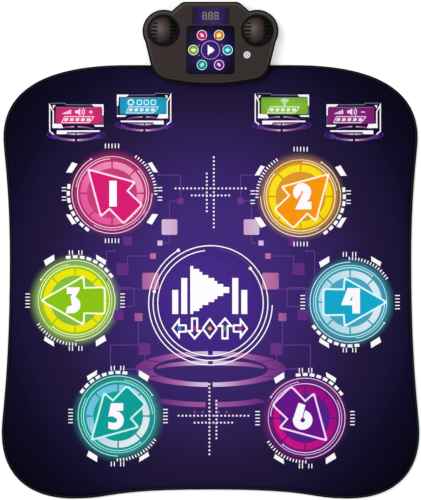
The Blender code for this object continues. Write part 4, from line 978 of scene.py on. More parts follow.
# Digits in photograph pixels from the pad's middle: polygons, and arcs as (x, y, radius, width, start, end)
DIGITS = (
    ([(-2.7, -13.2), (4.7, -13.2), (4.7, 12.6), (-2.7, 12.6)],),
    (
        (1.5, 4.5, 5.1, 7.9, 232, -40),
        [(9.7, -0.8), (2.4, 4.0), (-5.7, -12.8), (2.0, -12.8), (6.4, -5.0)],
        [(-5.7, -12.8), (10.9, -12.8), (10.9, -5.2), (-1.9, -5.2)],
    ),
    (
        [(-8.5, 13.2), (-8.3, 6.6), (-3.0, 6.6), (-4.2, 3.6), (0.4, 3.6), (4.4, 10.4), (4.8, 13.2)],
        (-3.2, -4.3, 4.5, 8.0, 100, -92),
        [(-9.3, -12.8), (-3.1, -12.8), (-3.1, -4.7), (-8.1, -6.4)],
    ),
    (
        [(-2.5, 14.1), (-8.6, -1.6), (-8.7, -3.1), (2.3, -3.1), (2.3, 1.6), (-0.4, 1.6), (2.3, 6.2),
         (2.3, 14.1)],
        [(2.2, -11.3), (9.9, -11.3), (9.9, 14.1), (2.2, 14.1)],
    ),
    (
        [(-7.0, 12.9), (-9.8, -0.8), (-7.4, -0.2), (-4.6, -0.4), (-1.7, 2.0), (-1.7, 5.4), (5.1, 5.4),
         (5.3, 12.9)],
        (-3.6, -4.1, 6.0, 6.8, 100, -95),
        [(-9.7, -5.7), (-9.7, -12.4), (-6.5, -13.3), (-3.6, -13.5), (-3.6, -6.7), (-6.0, -6.6)],
    ),
    (
        (-2.4, -1.8, 6.1, 7.4, 76, -190),
        [(-6.5, 15.4), (-12.1, -1.0), (-9.0, -2.5), (-4.7, -1.8), (-2.6, 1.0), (0.4, 13.2)],
    ),
)


def digit(shape, number, x, y, low, high):
    """A plain heavy digit."""
    for k, stroke in enumerate(DIGITS[number - 1]):
        top = high + 0.01 * k
        if isinstance(stroke, list):
            slab(shape, moved(stroke, x, y, PX), low, top)
            continue
        ax, ay, radius, width, start, end = stroke
        arc_line(shape, x + ax * PX, y + ay * PX, radius * PX, start, end, width * PX, low, top)


ARROW = [(33.8, 0), (-8.4, 24.2), (-9.2, 12.7), (-29.6, 13.2), (-29.6, -13.2), (-9.2, -12.7), (-8.4, -24.2)]
ARROW_SHIFTS = {"pad_2": (4.2, -1.4), "pad_4": (2.9, 0.0), "pad_5": (-2.7, 0.1), "pad_6": (-2.3, 1.7)}
# How pad 1's marks are turned for each pad: flipped top to bottom or not, and then turned by degrees
PAD_TURNS = {
    "pad_1": (1, 0),
    "pad_2": (-1, 180),
    "pad_3": (-1, 270),
    "pad_4": (-1, 90),
    "pad_5": (1, -90),
    "pad_6": (-1, 270),
}


def lit_disc(name, node, body, stops, slot, glow):
    """A round window with a soft edge. Its tint changes at stops of its radius in millimetres."""
    x, y, top = spot(node)
    radius = reach(node)
    stops = [(r / radius, colour) for r, colour in stops]
    material = lit_film(name + "_film", (x, y, top), (radius, radius, radius), stops, glow)
    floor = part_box(node)[0].z / MM
    rings = [(radius, floor), (radius, top - 0.2), (radius - 0.06, top - 0.06), (radius - 0.2, top)]
    shape = loft([(circle(r, 128, x, y), z) for r, z in rings])
    return finish_piece(name, shape, material, body, [node], slot, 25)


class DANCEMAT_OT_pads(bpy.types.Operator):
    """Make the numbered pads: lit window, ring of segments, arrow, digit and rings"""

    bl_idname = "dance_mat.pads"
    bl_label = "Numbered pads"

    def execute(self, context):
        settings = context.scene.dance_mat_print
        ink = settings.ink_height / MM
        width = settings.line_width / MM
        glow = settings.glow
        # White ink: lit from behind where it lies on a pad's window; on the cover round the pad its glow is
        # painted
        white = screen_ink("white_ink", "FAF8FC", 0.1)
        around = bmesh.new()
        ticks, dashes = [], []
        mark_radius = 43.7 * PX
        for number, (name, inks) in enumerate(PAD_INKS.items(), 1):
            x, y, top = spot(name + "_window")
            flip, turn = PAD_TURNS[name]
            low, high = top - 0.05, top + ink

            def angle_of(angle):
                return turn + flip * angle

            def marks_of(points):
                return moved(points, x, y, PX, turn, flip)

            rim, inner, arrow_code, line_code, far, near, deep = inks
            # Disc, ring under the segments, and the window's darker edge
            stops = [(0, inner), (52.8, inner), (53.6, rim), (72.3, rim), (74.6, deep), (80, deep)]
            lit_disc(name + "_disc", name + "_window", name, stops, name + "_print", glow)

            shape = bmesh.new()
            gap_angle = 3.0
            for k in range(8):
                start, end = 45 * k + gap_angle / 2, 45 * (k + 1) - gap_angle / 2
                arc_line(shape, x, y, 28.3 * PX, start, end, 6.8 * PX, low, high)
            # The segments run from one tint to another across the pad
            toward = 10 if name == "pad_4" else angle_of(45)
            start, end = (*on_circle(x, y, -66.0, toward), top), (*on_circle(x, y, 66.0, toward), top)
            material, tree, shader = soft_pvc(name + "_segments_ink", far, centre=(x, y, top))
            spread_tint(tree, shader, share_along(tree, start, end), [(0.15, far), (0.9, near)], glow)
            finish_piece(name + "_segments", shape, material, name)

            shift = ARROW_SHIFTS.get(name, (0.0, 0.0))
            arrow = moved(ARROW, x + shift[0] * PX, y + shift[1] * PX, PX, PAD_ANGLES[name])
            shape = bmesh.new()
            slab(shape, soften(arrow, 7.0), low, high + ink)
            finish_piece(name + "_arrow", shape, screen_ink(name + "_arrow_ink", arrow_code, glow), name)

            # Outline in white with a breath of the pad's own tint
            shape = bmesh.new()
            outline_line(shape, arrow, 1.8 * PX, 5.6, low, high + 2 * ink)
            pale = mixed("FFFFFF", line_code, 0.7)
            finish_piece(name + "_arrow_line", shape, screen_ink(name + "_pale_ink", pale, 0.1), name)
            shape = bmesh.new()
            digit(shape, number, x, y, low, high + 2 * ink)
            finish_piece(name + "_digit", shape, white, name)

            # Rings in the pad's light tint, each with a dot at one end: two on the window, one round it
            # This tint glows from behind on the window; on the ring round it, on the cover, the glow is
            # painted
            tint = screen_ink(name + "_line_ink", line_code, 0.12)
            shape = bmesh.new()
            start, end = angle_of(93), angle_of(400)
            arc_line(shape, x, y, 34.5 * PX, start, end, width * 0.85, low, high)
            dot(shape, *on_circle(x, y, 34.5 * PX, end), width * 0.85, low, high + 0.03)
            start, end = angle_of(169), angle_of(-120)
            arc_line(shape, x, y, 79.1, start, end, width * 0.6, low, high + 0.02)
            dot(shape, *on_circle(x, y, 78.3, start), width * 0.6, low, high + 0.04)
            finish_piece(name + "_inner_ring", shape, tint, name)
            low, high = COVER_TOP - 0.05, COVER_TOP + ink
            shape = bmesh.new()
            start, end = angle_of(121.5), angle_of(360)
            arc_line(shape, x, y, 86.1, start, end, width * 0.78, low, high + 0.02)
            dot(shape, *on_circle(x, y, 86.1, start), width, low, high + 0.04)
            finish_piece(name + "_outer_ring", shape, tint, "mat")

            # White marks round the pad
            for sx, sy in ((1, 1), (-1, 1), (-1, -1), (1, -1)):
                # Two of the four blocks are cut back, clear of the ticks and dashes
                corners = [(-39.9, 31.2), (-34.5, 29.3), (-40.2, 20.6), (-46.0, 21.0)]
                if sx * sy < 0:
                    corners[1:3] = [(-35.6, 30.0), (-38.6, 25.9), (-41.3, 21.3)]
                slab(around, marks_of([(sx * cx, sy * cy) for cx, cy in corners]), low, high)
            for side in (-1, 1):
                for row in (5.7, 2.6, -3.7, -6.8):
                    line(around, *marks_of([(side * 45.6, row), (side * 50.2, row)]), 0.95 * PX, low, high)
                for k in range(5):
                    column = (k - 2) * 3.3
                    ends = marks_of([(column, side * 45.1), (column, side * 49.7)])
                    line(around, *ends, 1.0 * PX, low, high)
            for rows, start, end in ((ticks, 57, -1), (dashes, 171, 235)):
                path = arc_points(x, y, mark_radius, angle_of(start), angle_of(end))
                rows.append([(px, py, COVER_TOP + 0.02) for px, py in path])
        finish_piece("pad_marks", around, white, "mat")
        pitch = mark_radius * math.radians(58) / 15
        marks_along("pad_ticks", ticks, pitch, (1.1 * PX, 3.1 * PX, 0.24), white, "mat")
        pitch = mark_radius * math.radians(64) / 7.6
        marks_along("pad_dashes", dashes, pitch, (4.8 * PX, 3.0 * PX, 0.24), white, "mat")
        return {"FINISHED"}


def pixel_figure(shape, rows, x, y, cell, low, high):
    """A figure of square cells, joined along each row."""
    tall = len(rows)
    for r, row in enumerate(rows):
        top = y + (tall / 2 - r) * cell
        left = x - len(row) / 2 * cell
        run = 0
        for c, mark in enumerate(row + "0"):
            if mark == "1":
                run += 1
            elif run:
                x0, x1 = left + (c - run) * cell, left + c * cell
                y0 = top - cell - 0.01
                slab(shape, [(x0, y0), (x1, y0), (x1, top), (x0, top)], low, high)
                run = 0


def play_rows(widest, tall):
    """Rows of cells for a triangle that points right."""
    middle = (tall - 1) / 2
    counts = [max(1, round(widest * (1 - abs(r - middle) / (middle + 0.5)) + 0.4)) for r in range(tall)]
    return ["1" * n + "0" * (widest - n) for n in counts]


STEP = [(0, 10), (6.5, 2.5), (2.6, 2.5), (2.6, -10), (-2.6, -10), (-2.6, 2.5), (-6.5, 2.5)]
SIDE_STEP = [(7, 0), (0.5, 8.5), (0.5, 3.2), (-6.5, 3.2), (-6.5, -3.2), (0.5, -3.2), (0.5, -8.5)]
DIAMOND = [(7, 0), (0, 9.5), (-7, 0), (0, -9.5)]
STEP_ROW = (
    (SIDE_STEP, 180, "3C8CDC"),
    (STEP, 180, "B03090"),
    (DIAMOND, 0, "F0A840"),
    (STEP, 0, "2E9A68"),
    (SIDE_STEP, 0, "C03090"),
)


class DANCEMAT_OT_centre(bpy.types.Operator):
    """Make the large centre pad with its rings, play figure and row of small arrows"""

    bl_idname = "dance_mat.centre"
    bl_label = "Centre pad"

    def execute(self, context):
        ink = context.scene.dance_mat_print.ink_height / MM
        x, y, top = spot("start_window")
        stops = [(0, "462A8A"), (90, "452887"), (116, "402480")]
        lit_disc("centre_disc", "start_window", "start", stops, "start_print", 0.05)
        # White ink: lit from behind on the centre window; on the rings round it, on the cover, its glow is
        # painted
        white = screen_ink("centre_white_ink", "FDFCFE", 0.1)
        low, high = top - 0.05, top + ink
        # Play triangle between two stepped level meters, on cells of three photograph pixels
        shape = bmesh.new()
        cell = 3.0 * PX
        left, foot = x - 38.25 * PX, y - 10.9 * PX
        pixel_figure(shape, play_rows(13, 16), left + 12.5 * cell, foot + 8 * cell, cell, low, high)
        for column, tall in ((0, 8), (3, 12), (20, 12), (23, 8)):
            middle = (left + (column + 1) * cell, foot + tall / 2 * cell)
            slab(shape, rounded(2 * cell, tall * cell, 0.3, *middle, 1), low, high)
        # Small arrows in a row, as on a step chart
        for k, (outline, turn, code) in enumerate(STEP_ROW):
            at = (x - 0.7 * PX + (k - 2) * 15.2 * PX, y - 25.4 * PX)
            outline_line(shape, moved(outline, *at, PX, turn), 1.9 * PX, 0.8, low, high)
            core = bmesh.new()
            slab(core, moved(rounded(4.5, 4.5, 0.3, 0, 0, 1), *at, 0.75 * PX, 45), low, high)
            ink_here = screen_ink(f"spark_ink_{k + 1}", code, 0.1)
            finish_piece(f"centre_spark_{k + 1}", core, ink_here, "start")
        arc_line(shape, x, y, 113.6, 96, 401, 1.05 * PX, low, high)
        dot(shape, *on_circle(x, y, 113.6, 401), 3.5, low, high + 0.05)
        finish_piece("centre_figures", shape, white, "start")
        shape = bmesh.new()
        low, high = COVER_TOP - 0.05, COVER_TOP + ink + 0.02
        for radius, start, end in ((57.4, 168.3, -192), (61.8, 121.4, 358)):
            arc_line(shape, x, y, radius * PX, start, end, 1.05 * PX, low, high)
            dot(shape, *on_circle(x, y, radius * PX, start), 3.7, low, high + 0.02)
        finish_piece("centre_outer_rings", shape, white, "mat")
        return {"FINISHED"}


def on_ellipse(middle, half, angle, drop=0.0):
    """The point of an ellipse at an angle in degrees. Its half sizes are in photograph pixels."""
    a = math.radians(angle)
    return (middle[0] + half[0] * math.cos(a) * PX, middle[1] + (half[1] * math.sin(a) - drop) * PX)


def ellipse_band(shape, middle, outer, inner, start, end, low, high, inner_drop=0.0):
    """A band between two ellipses, from one angle to another, with sizes in photograph pixels."""
    angles = [start + (end - start) * k / 32 for k in range(33)]
    outside = [on_ellipse(middle, outer, a) for a in angles]
    inside = [on_ellipse(middle, inner, a, inner_drop) for a in angles]
    strip(shape, outside, inside, low, high)


# Bracket frame of a key, in photograph pixels from the pink key's middle
KEY_BRACKETS = (
    [(-29.9, 12.9), (-28.7, 11.4), (-28.7, -15.2), (-25.1, -18.1), (-25.9, -19.1), (-29.9, -15.7)],
    [(-29.7, 12.3), (-25.1, 4.5), (-25.1, -8.6), (-26.4, -8.6), (-26.4, 4.2), (-28.8, 8.4)],
    [(-26.6, -7.9), (-17.8, -7.9), (-15.7, -12.3), (-26.6, -12.3)],
    [(-26.2, 10.6), (-23.4, 10.6), (-26.0, 7.0)],
    [(12.4, 11.4), (24.5, 11.4), (24.5, 0.3), (23.1, 0.3), (22.6, 7.4), (22.4, 9.2), (15.0, 9.2)],
    [(14.8, -9.2), (24.5, -9.2), (24.5, -10.9), (16.4, -10.9)],
    [(-22.3, -14.7), (20.9, -14.6), (20.4, -16.1), (-11.6, -16.3), (-12.9, -18.4), (-22.3, -18.4)],
)
KEY_GREY_LINES = (
    [(-28.0, 12.9), (-14.2, 12.9), (-12.8, 11.5), (12.0, 11.2), (12.0, 10.5), (-13.2, 10.7), (-14.6, 12.2),
     (-27.6, 12.2)],
    [(-22.6, 8.8), (21.6, 8.8), (21.6, 8.1), (-22.6, 8.1)],
    [(23.7, 0.1), (24.3, 0.1), (24.3, -9.0), (23.7, -9.0)],
)
# Painted shadow: dark bands along the inside of a key's frame, in photograph pixels from the pink key's
# middle
KEY_PAINTED_SHADOWS = (
    [(-28.0, -10.6), (-28.0, 9.4), (-25.8, 12.1), (22.9, 12.1), (22.9, 7.9), (-24.2, 7.9), (-24.2, -10.6)],
    [(22.2, 8.0), (24.7, 8.0), (24.7, -10.8), (22.2, -10.8)],
    [(-24.4, -8.2), (23.0, -8.2), (23.0, -10.0), (-24.4, -10.0)],
)
KEY_SHIFTS = {"mode": -2.0}  # how far a frame lies beside its key, in photograph pixels
CAPSULE = [(-16.4, -3.0), (10.4, -3.0), (13.4, -0.6), (15.6, 3.0), (-13.6, 3.0)]


class DANCEMAT_OT_keys(bpy.types.Operator):
    """Make the oblong keys, their icons and the bracket frames printed round them"""

    bl_idname = "dance_mat.keys"
    bl_label = "Function keys"

    def execute(self, context):
        settings = context.scene.dance_mat_print
        ink = settings.ink_height / MM
        # White ink for the brackets on the cover, with a painted glow
        white = screen_ink("key_white_ink", "F8F6FA", 0.1)
        grey = screen_ink("key_grey_ink", "7C7690", 0.0)
        # Near-black ink for the painted shadow inside each key's frame
        dark = screen_ink("key_dark_ink", "120C28", 0.0)
        frames, thin, shade = bmesh.new(), bmesh.new(), bmesh.new()
        for name, code in KEY_INKS.items():
            x, y, top = spot(name + "_key")
            flip = -1 if name in ("mode", "volume_down") else 1
            turn = 0 if flip > 0 else 180
            # A key is brightest in the middle, where its lamps are
            stops = [(0.3, code), (1.0, mixed(code, "000000", 0.14))]
            film = lit_film(name + "_film", (x, y - 2.0, top), (60, 26, 0), stops, settings.glow)
            length, wide = key_size(name)
            flange = rounded(length + 2 * KEY_FLANGE, wide + 2 * KEY_FLANGE, 6.0, x, y)
            body = rounded(length, wide, 3.0, x, y)
            crown = rounded(length - 0.8, wide - 0.8, 2.6, x, y)
            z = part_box(name + "_key")[0].z / MM
            rings = [(flange, z), (flange, z + 2.2), (body, z + 2.2), (body, top - 0.35), (crown, top)]
            finish_piece(name + "_key_film", loft(rings), film, name, [name + "_key"], name + "_print")

            # Icons on the key, in white with a little of its tint
            tint = screen_ink(name + "_icon_ink", mixed("FFFFFF", code, 0.16), 0.08)
            low, high = top - 0.05, top + ink
            shape = bmesh.new()
            if name.startswith("volume"):
                volume_icon(shape, x, y, name == "volume_up", low, high)
            elif name == "mode":
                gear_icon(shape, x, y, low, high)
            else:
                wave_icon(shape, x, y, low, high)
            at = (x - 0.9 * PX, y - 3.9 * PX)
            outline_line(shape, moved(CAPSULE, *at, PX), 0.8 * PX, 0.6, low, high)
            for k in range(5):
                block = [(-2.1, -1.5), (1.5, -1.5), (2.3, 1.5), (-1.3, 1.5)]
                slab(shape, moved(block, at[0] + ((k - 2) * 5.5 - 0.9) * PX, at[1], PX), low, high)
            finish_piece(name + "_icons", shape, tint, name)

            # Bracket frame printed on the cover. It is drawn for the pink key and mirrored for two.
            low, high = COVER_TOP - 0.05, COVER_TOP + ink
            centre = (x + KEY_SHIFTS.get(name, 0.0) * PX, y)
            # Under each frame lie its bands of painted shadow
            kinds = ((shade, KEY_PAINTED_SHADOWS, -0.02), (thin, KEY_GREY_LINES, 0.03), (frames, KEY_BRACKETS, 0.06))
            for target, bands, lift in kinds:
                for k, band in enumerate(bands):
                    slab(target, moved(band, *centre, PX, turn, flip), low, high + lift + 0.004 * k)
            ripple = bmesh.new()
            centre = (centre[0] - flip * 3.0 * PX, centre[1])
            for half, inner, drop, arcs in (
                ((26.0, 6.9), (20.4, 5.0), 18.4, ((182, 267), (273, 358))),
                ((19.0, 4.3), (17.0, 3.1), 14.6, ((96, 165), (15, 84))),
                ((19.6, 4.6), (16.6, 2.9), 14.6, ((205, 268), (272, 335))),
                ((29.8, 6.3), (27.8, 4.9), 19.0, ((148, 224), (-44, 32))),
            ):
                for start, end in arcs:
                    middle = (centre[0], centre[1] - drop * PX)
                    ellipse_band(ripple, middle, half, inner, start, end, low, high - 0.03)
            stops = [(0.0, "E6C8E4"), (0.25, "B070B0"), (0.5, "7C4498"), (1.0, "3E2080")]
            ripple_ink = across_ink(name + "_ripple_ink", stops, centre[0], 56.0)
            finish_piece(name + "_ripples", ripple, ripple_ink, "mat")
        finish_piece("key_shades", shade, dark, "mat")
        finish_piece("key_brackets", frames, white, "mat")
        finish_piece("key_thin_lines", thin, grey, "mat")
        return {"FINISHED"}


def volume_icon(shape, x, y, is_up, low, high):
    """A rising row of level bars, a plain loudspeaker, and a plus or a minus."""
    foot = y + 1.7 * PX
    for k in range(6):
        tall = (1.0 + 0.65 * k) * PX
        bar = rounded(1.15 * PX, tall, 0.2, x + (1.5 * k - 16.0) * PX, foot + tall / 2, 1)
        slab(shape, bar, low, high)
    speaker = [(-3.8, 1.4), (-1.6, 1.4), (1.2, 3.6), (1.2, -3.6), (-1.6, -1.4), (-3.8, -1.4)]
    slab(shape, moved(speaker, x, y + 3.9 * PX, PX), low, high)
    for radius in (2.9, 4.9):
        arc_line(shape, x + 0.6 * PX, y + 3.9 * PX, radius * PX, -48, 48, 0.9 * PX, low, high)
    at = (x + 11.9 * PX, y + 3.7 * PX)
    line(shape, (at[0] - 1.9 * PX, at[1]), (at[0] + 1.9 * PX, at[1]), 0.95 * PX, low, high)
    if is_up:
        line(shape, (at[0], at[1] - 1.9 * PX), (at[0], at[1] + 1.9 * PX), 0.95 * PX, low, high + 0.02)


def gear_icon(shape, x, y, low, high):
    """A gear wheel beside a row of three squares."""
    outer = []
    for k in range(32):
        r = 3.7 if k % 4 in (0, 1) else 2.9
        a = math.tau * k / 32
        outer.append((x + (r * math.cos(a) - 12.6) * PX, y + (3.6 + r * math.sin(a)) * PX))
    strip(shape, outer, circle(1.9 * PX, 32, x - 12.6 * PX, y + 3.6 * PX), low, high, closed=True)
    for k in range(3):
        middle = (x + (7.0 * k - 4.0) * PX, y + 3.6 * PX)
        outline_line(shape, rounded(4.4 * PX, 4.4 * PX, 0.8, *middle, 1), 1.0 * PX, 0.2, low, high)


def wave_icon(shape, x, y, low, high):
    """A plain wireless mark: a dot with three arcs over it."""
    foot = (x, y + 0.9 * PX)
    dot(shape, *foot, 0.95 * PX, low, high)
    for radius in (2.4, 4.2, 6.0):
        arc_line(shape, *foot, radius * PX, 48, 132, 1.0 * PX, low, high)


class DANCEMAT_OT_figures(bpy.types.Operator):
    """Make the printed background: blocks, traces, dotted crosses and ripples"""

    bl_idname = "dance_mat.figures"
    bl_label = "Background print"

    def execute(self, context):
        ink = context.scene.dance_mat_print.ink_height / MM
        low, high = COVER_TOP - 0.05, COVER_TOP + 0.04
        x0, y0, _ = spot("start_window")
        # White ink on the cover, with a painted glow
        white = screen_ink("figure_white_ink", "F2EEF8", 0.1)

        # Blocks in three inks. Each block is (across, up, side) from the centre pad, in photograph pixels.
        pale = [(0.0, "D884B4"), (0.25, "D490BC"), (0.55, "D8C4E4"), (1.0, "E0D4EE")]
        rose = [(0.0, "D094C4"), (0.45, "C884B4"), (0.75, "BC6EA6"), (1.0, "8C4694")]
        plum = [(0.0, "7A3A94"), (1.0, "5C2C80")]
        plum_blocks = [(-88, 34, 12), (-83, 62, 9), (-66, -46, 12), (-92, -12, 10), (-30, 102, 6)]
        plum_blocks += [(-92, 88, 6)]
        for kind, stops, half, blocks in (
            ("pale", pale, 200.0, [(-41, 76, 15.5), (-50.5, 60, 5.0)]),
            ("rose", rose, 175.0, [(-60, 22, 16.5), (-68, 92, 7.5), (-72, -14, 8), (-57.5, 47, 5.5)]),
            ("plum", plum, 230.0, plum_blocks),
        ):
            shape = bmesh.new()
            for across, up, side in blocks:
                for sign in (-1, 1):
                    at = (x0 + sign * across * PX, y0 + up * PX)
                    slab(shape, rounded(side * PX, side * PX, 0.09 * side * PX, *at, 3), low, high)
            finish_piece(kind + "_blocks", shape, across_ink(kind + "_ink", stops, 0.0, half), "mat")

        # Traces that join the blocks, with square turns, and two open squares
        traces = [
            [(-50.5, 60), (-41, 60), (-41, 68)],
            [(-57.5, 47), (-83, 47), (-83, 34)],
            [(-41, 84), (-41, 102), (-30, 102)],
            [(-72, -14), (-72, -42), (-100, -42), (-100, -74)],
            [(-92, -12), (-112, -12), (-112, 18)],
            [(-66, -46), (-66, -66), (-88, -66)],
            [(-60, 14), (-104, 14), (-104, 52), (-96, 52)],
            [(-68, 92), (-96, 92)],
            [(-30, 105), (-30, 128), (-52, 128)],
        ]
        shape = bmesh.new()
        for trace in traces:
            for sign in (-1, 1):
                points = [(x0 + sign * tx * PX, y0 + ty * PX) for tx, ty in trace]
                for k, (start, end) in enumerate(zip(points, points[1:])):
                    line(shape, start, end, 0.8 * PX, low, high - 0.02 - 0.004 * k)
                dot(shape, *points[-1], 2.2, low, high - 0.01)
        for sign in (-1, 1):
            at = (x0 + sign * 86 * PX, y0 + 6 * PX)
            outline_line(shape, rounded(19 * PX, 19 * PX, 3.0, *at, 2), 0.8 * PX, 0.6, low, high - 0.03)
        # The traces' ink carries a faint painted glow
        finish_piece("traces", shape, screen_ink("trace_ink", "6C3E9E", 0.02), "mat")

        # Ripples under the centre pad: wide flat rings cut into lengths
        shape = bmesh.new()
        middle = from_photo(210.4, 369.0)
        outer, inner = (75.2, 17.8), (57.5, 13.3)
        cuts = (92.0, 148, 150, 178.5, 181.5, 208, 210, 268, 272, 330, 332, 358.5, 1.5, 30, 32, 88)
        for start, end in zip(cuts[::2], cuts[1::2]):
            ellipse_band(shape, middle, outer, inner, start, end, low, high, 0.2)
        for start, end in ((92.5, 172), (8, 87.5)):
            ellipse_band(shape, middle, (55.0, 8.6), (52.0, 4.4), start, end, low, high - 0.02, 0.6)
        stops = [(0.0, "DCCCEC"), (0.17, "D4B4DC"), (0.38, "B46EB0"), (0.6, "8E4696"), (1.0, "5E2A78")]
        ripple_ink = across_ink("ripple_ink", stops, 0.0, 170.0)
        finish_piece("ripples", shape, ripple_ink, "mat")
        # The crest of the same ring, where it runs over the foot of the centre pad
        shape = bmesh.new()
        window_top = spot("start_window")[2]
        for start, end in ((74.0, 88.0), (92.0, 106.0)):
            rails = [[], []]
            for k in range(17):
                angle = start + (end - start) * k / 16
                far = Vector(on_ellipse(middle, outer, angle))
                near = Vector(on_ellipse(middle, inner, angle))
                # The crest is as deep as it can be without leaving the pad's window
                share = 1.0
                while share > 0.03 and (far.lerp(near, share) - Vector((x0, y0))).length > 53.2 * PX:
                    share -= 0.02
                rails[0].append(tuple(far))
                rails[1].append(tuple(far.lerp(near, share)))
            strip(shape, *rails, window_top - 0.05, window_top + ink / 2)
        finish_piece("ripple_crest", shape, ripple_ink, "start")
        shape = bmesh.new()
        middle = from_photo(210.4, 391.0)
        for start, end in ((222, 266), (274, 318)):
            ellipse_band(shape, middle, (76.0, 16.2), (64.0, 11.2), start, end, low, high - 0.03)
        stops = [(0.0, "A8589A"), (0.35, "94509A"), (0.8, "6A2E84"), (1.0, "502470")]
        finish_piece("low_ripples", shape, across_ink("low_ripple_ink", stops, 0.0, 130.0), "mat")

        # Dotted crosses above and below the centre pad
        runs = (
            ((213.8, 157.3), (213.8, 227.2)),
            ((206.8, 173.6), (206.8, 211.2)),
            ((175.6, 188.4), (245.6, 188.4)),
            ((191.8, 195.4), (229.2, 195.4)),
            ((209.4, 384.2), (209.4, 454.2)),
            ((216.4, 400.7), (216.4, 438.2)),
            ((178.6, 415.7), (248.4, 415.7)),
            ((194.7, 422.6), (232.1, 422.6)),
        )
        paths = []
        for k, (start, end) in enumerate(runs):
            z = COVER_TOP + 0.04 + 0.003 * k
            paths.append([(*from_photo(*start), z), (*from_photo(*end), z)])
        marks_along("cross_dots", paths, 3.71 * PX, (1.7 * PX, 1.7 * PX, 0.2), white, "mat")
        shape = bmesh.new()
        for k in range(5):
            dot(shape, *from_photo(194.6 + 8.0 * k, 411.9), 1.1 * PX, low, high)
        # The sparks' ink carries a faint painted glow
        finish_piece("cross_sparks", shape, screen_ink("spark_ink", "9A4A9C", 0.03), "mat")
        return {"FINISHED"}


class DANCEMAT_OT_shells(bpy.types.Operator):
    """Make the console's moulded housing with its stepped lip and openings"""

    bl_idname = "dance_mat.shells"
    bl_label = "Console housing"

    def execute(self, context):
        settings = context.scene.dance_mat_console
        fine = settings.curve_steps
        top = CONSOLE_TOP
        # Painted shade near black on the lip below the step and its wall, and a painted highlight along the
        # rounded top edge; the lower shell is a darker brown
        heights = [(0.0, "1C1514"), (11.4, "1C1514"), (11.8, "0A0707"), (top - 13.5, "0A0707")]
        heights += [(top - 6.0, "0C0808"), (top - 3.3, "150F0E"), (top - 2.3, "4C4240")]
        heights += [(top - 0.7, "443A38"), (top - 0.15, (*settings.shell_colour, 1.0))]
        plastic = moulded_plastic("moulded_abs", "352C2B", 0.38, 0.9, "241B1A", 0.1, heights)
        # Each step is how far the outline is drawn in, and how far it lies below the top
        steps = [(0.0, 26.2), (0.0, 17.4), (0.25, 16.3), (0.9, 15.2), (1.9, 14.4), (3.2, 14.0), (3.9, 13.8)]
        steps += [(4.2, 13.3), (4.7, 6.2), (5.0, 4.6), (5.6, 3.0), (6.6, 1.6), (8.0, 0.55), (9.8, 0.03)]
        steps += [(10.6, 0.0)]
        shell = loft([(console_outline(inset, fine), top - drop) for inset, drop in steps])
        shell = add_helper("shell", shell)
        hollow = [(2.2, 35.0), (2.2, 19.4), (6.2, 16.0), (7.2, 6.4), (11.2, 2.2)]
        hollow = loft([(console_outline(inset, fine), top - drop) for inset, drop in hollow])
        # A grille's flange lies in a recess, on a ring of the seat inside the shell
        throat, recess, seat = 31.0, 34.7, 37.5
        seats, holes = bmesh.new(), bmesh.new()
        for node in ("left_grille", "right_grille"):
            x, y, _ = spot(node)
            slab(seats, circle(seat, 64, x, y), top - 6.5, top - 1.0)
            profile = [(throat, top - 15), (throat, top - 4.0), (recess, top - 4.0), (recess, top + 9)]
            loft([(circle(r, 96, x, y), z) for r, z in profile], holes)
        # The display window lies on a ledge, and the panel and the button pass straight through
        x, y, _ = spot("display_lens")
        small, large = rounded(73.0, 29.0, 3.0, x, y), rounded(79.6, 35.6, 3.3, x, y)
        loft([(small, top - 9), (small, top - 1.5), (large, top - 1.5), (large, top + 9)], holes)
        x, y, _ = spot("panel_lens")
        slab(holes, rounded(104.0, 104.5, 8.0, x, y), top - 9, top + 9)
        x, y, _ = spot("power_button")
        slab(holes, circle(8.1, 64, x, y), top - 9, top + 9)
        helpers = [add_helper("hollow", hollow), add_helper("seats", seats), add_helper("holes", holes)]
        cut(shell, helpers[0])
        cut(shell, helpers[1], "UNION")
        cut(shell, helpers[2])
        soften_edges(shell, settings.edge_round)
        mesh = evaluated_copy(shell, "shell")
        clear_helpers(helpers)
        finish_mesh("console_housing", mesh, plastic, "mat", ["upper_shell"], "moulded_plastic", 35, True)
        for node in ("lower_shell", "battery_door"):
            NODES[node].data.materials.clear()
            NODES[node].data.materials.append(plastic)
        return {"FINISHED"}


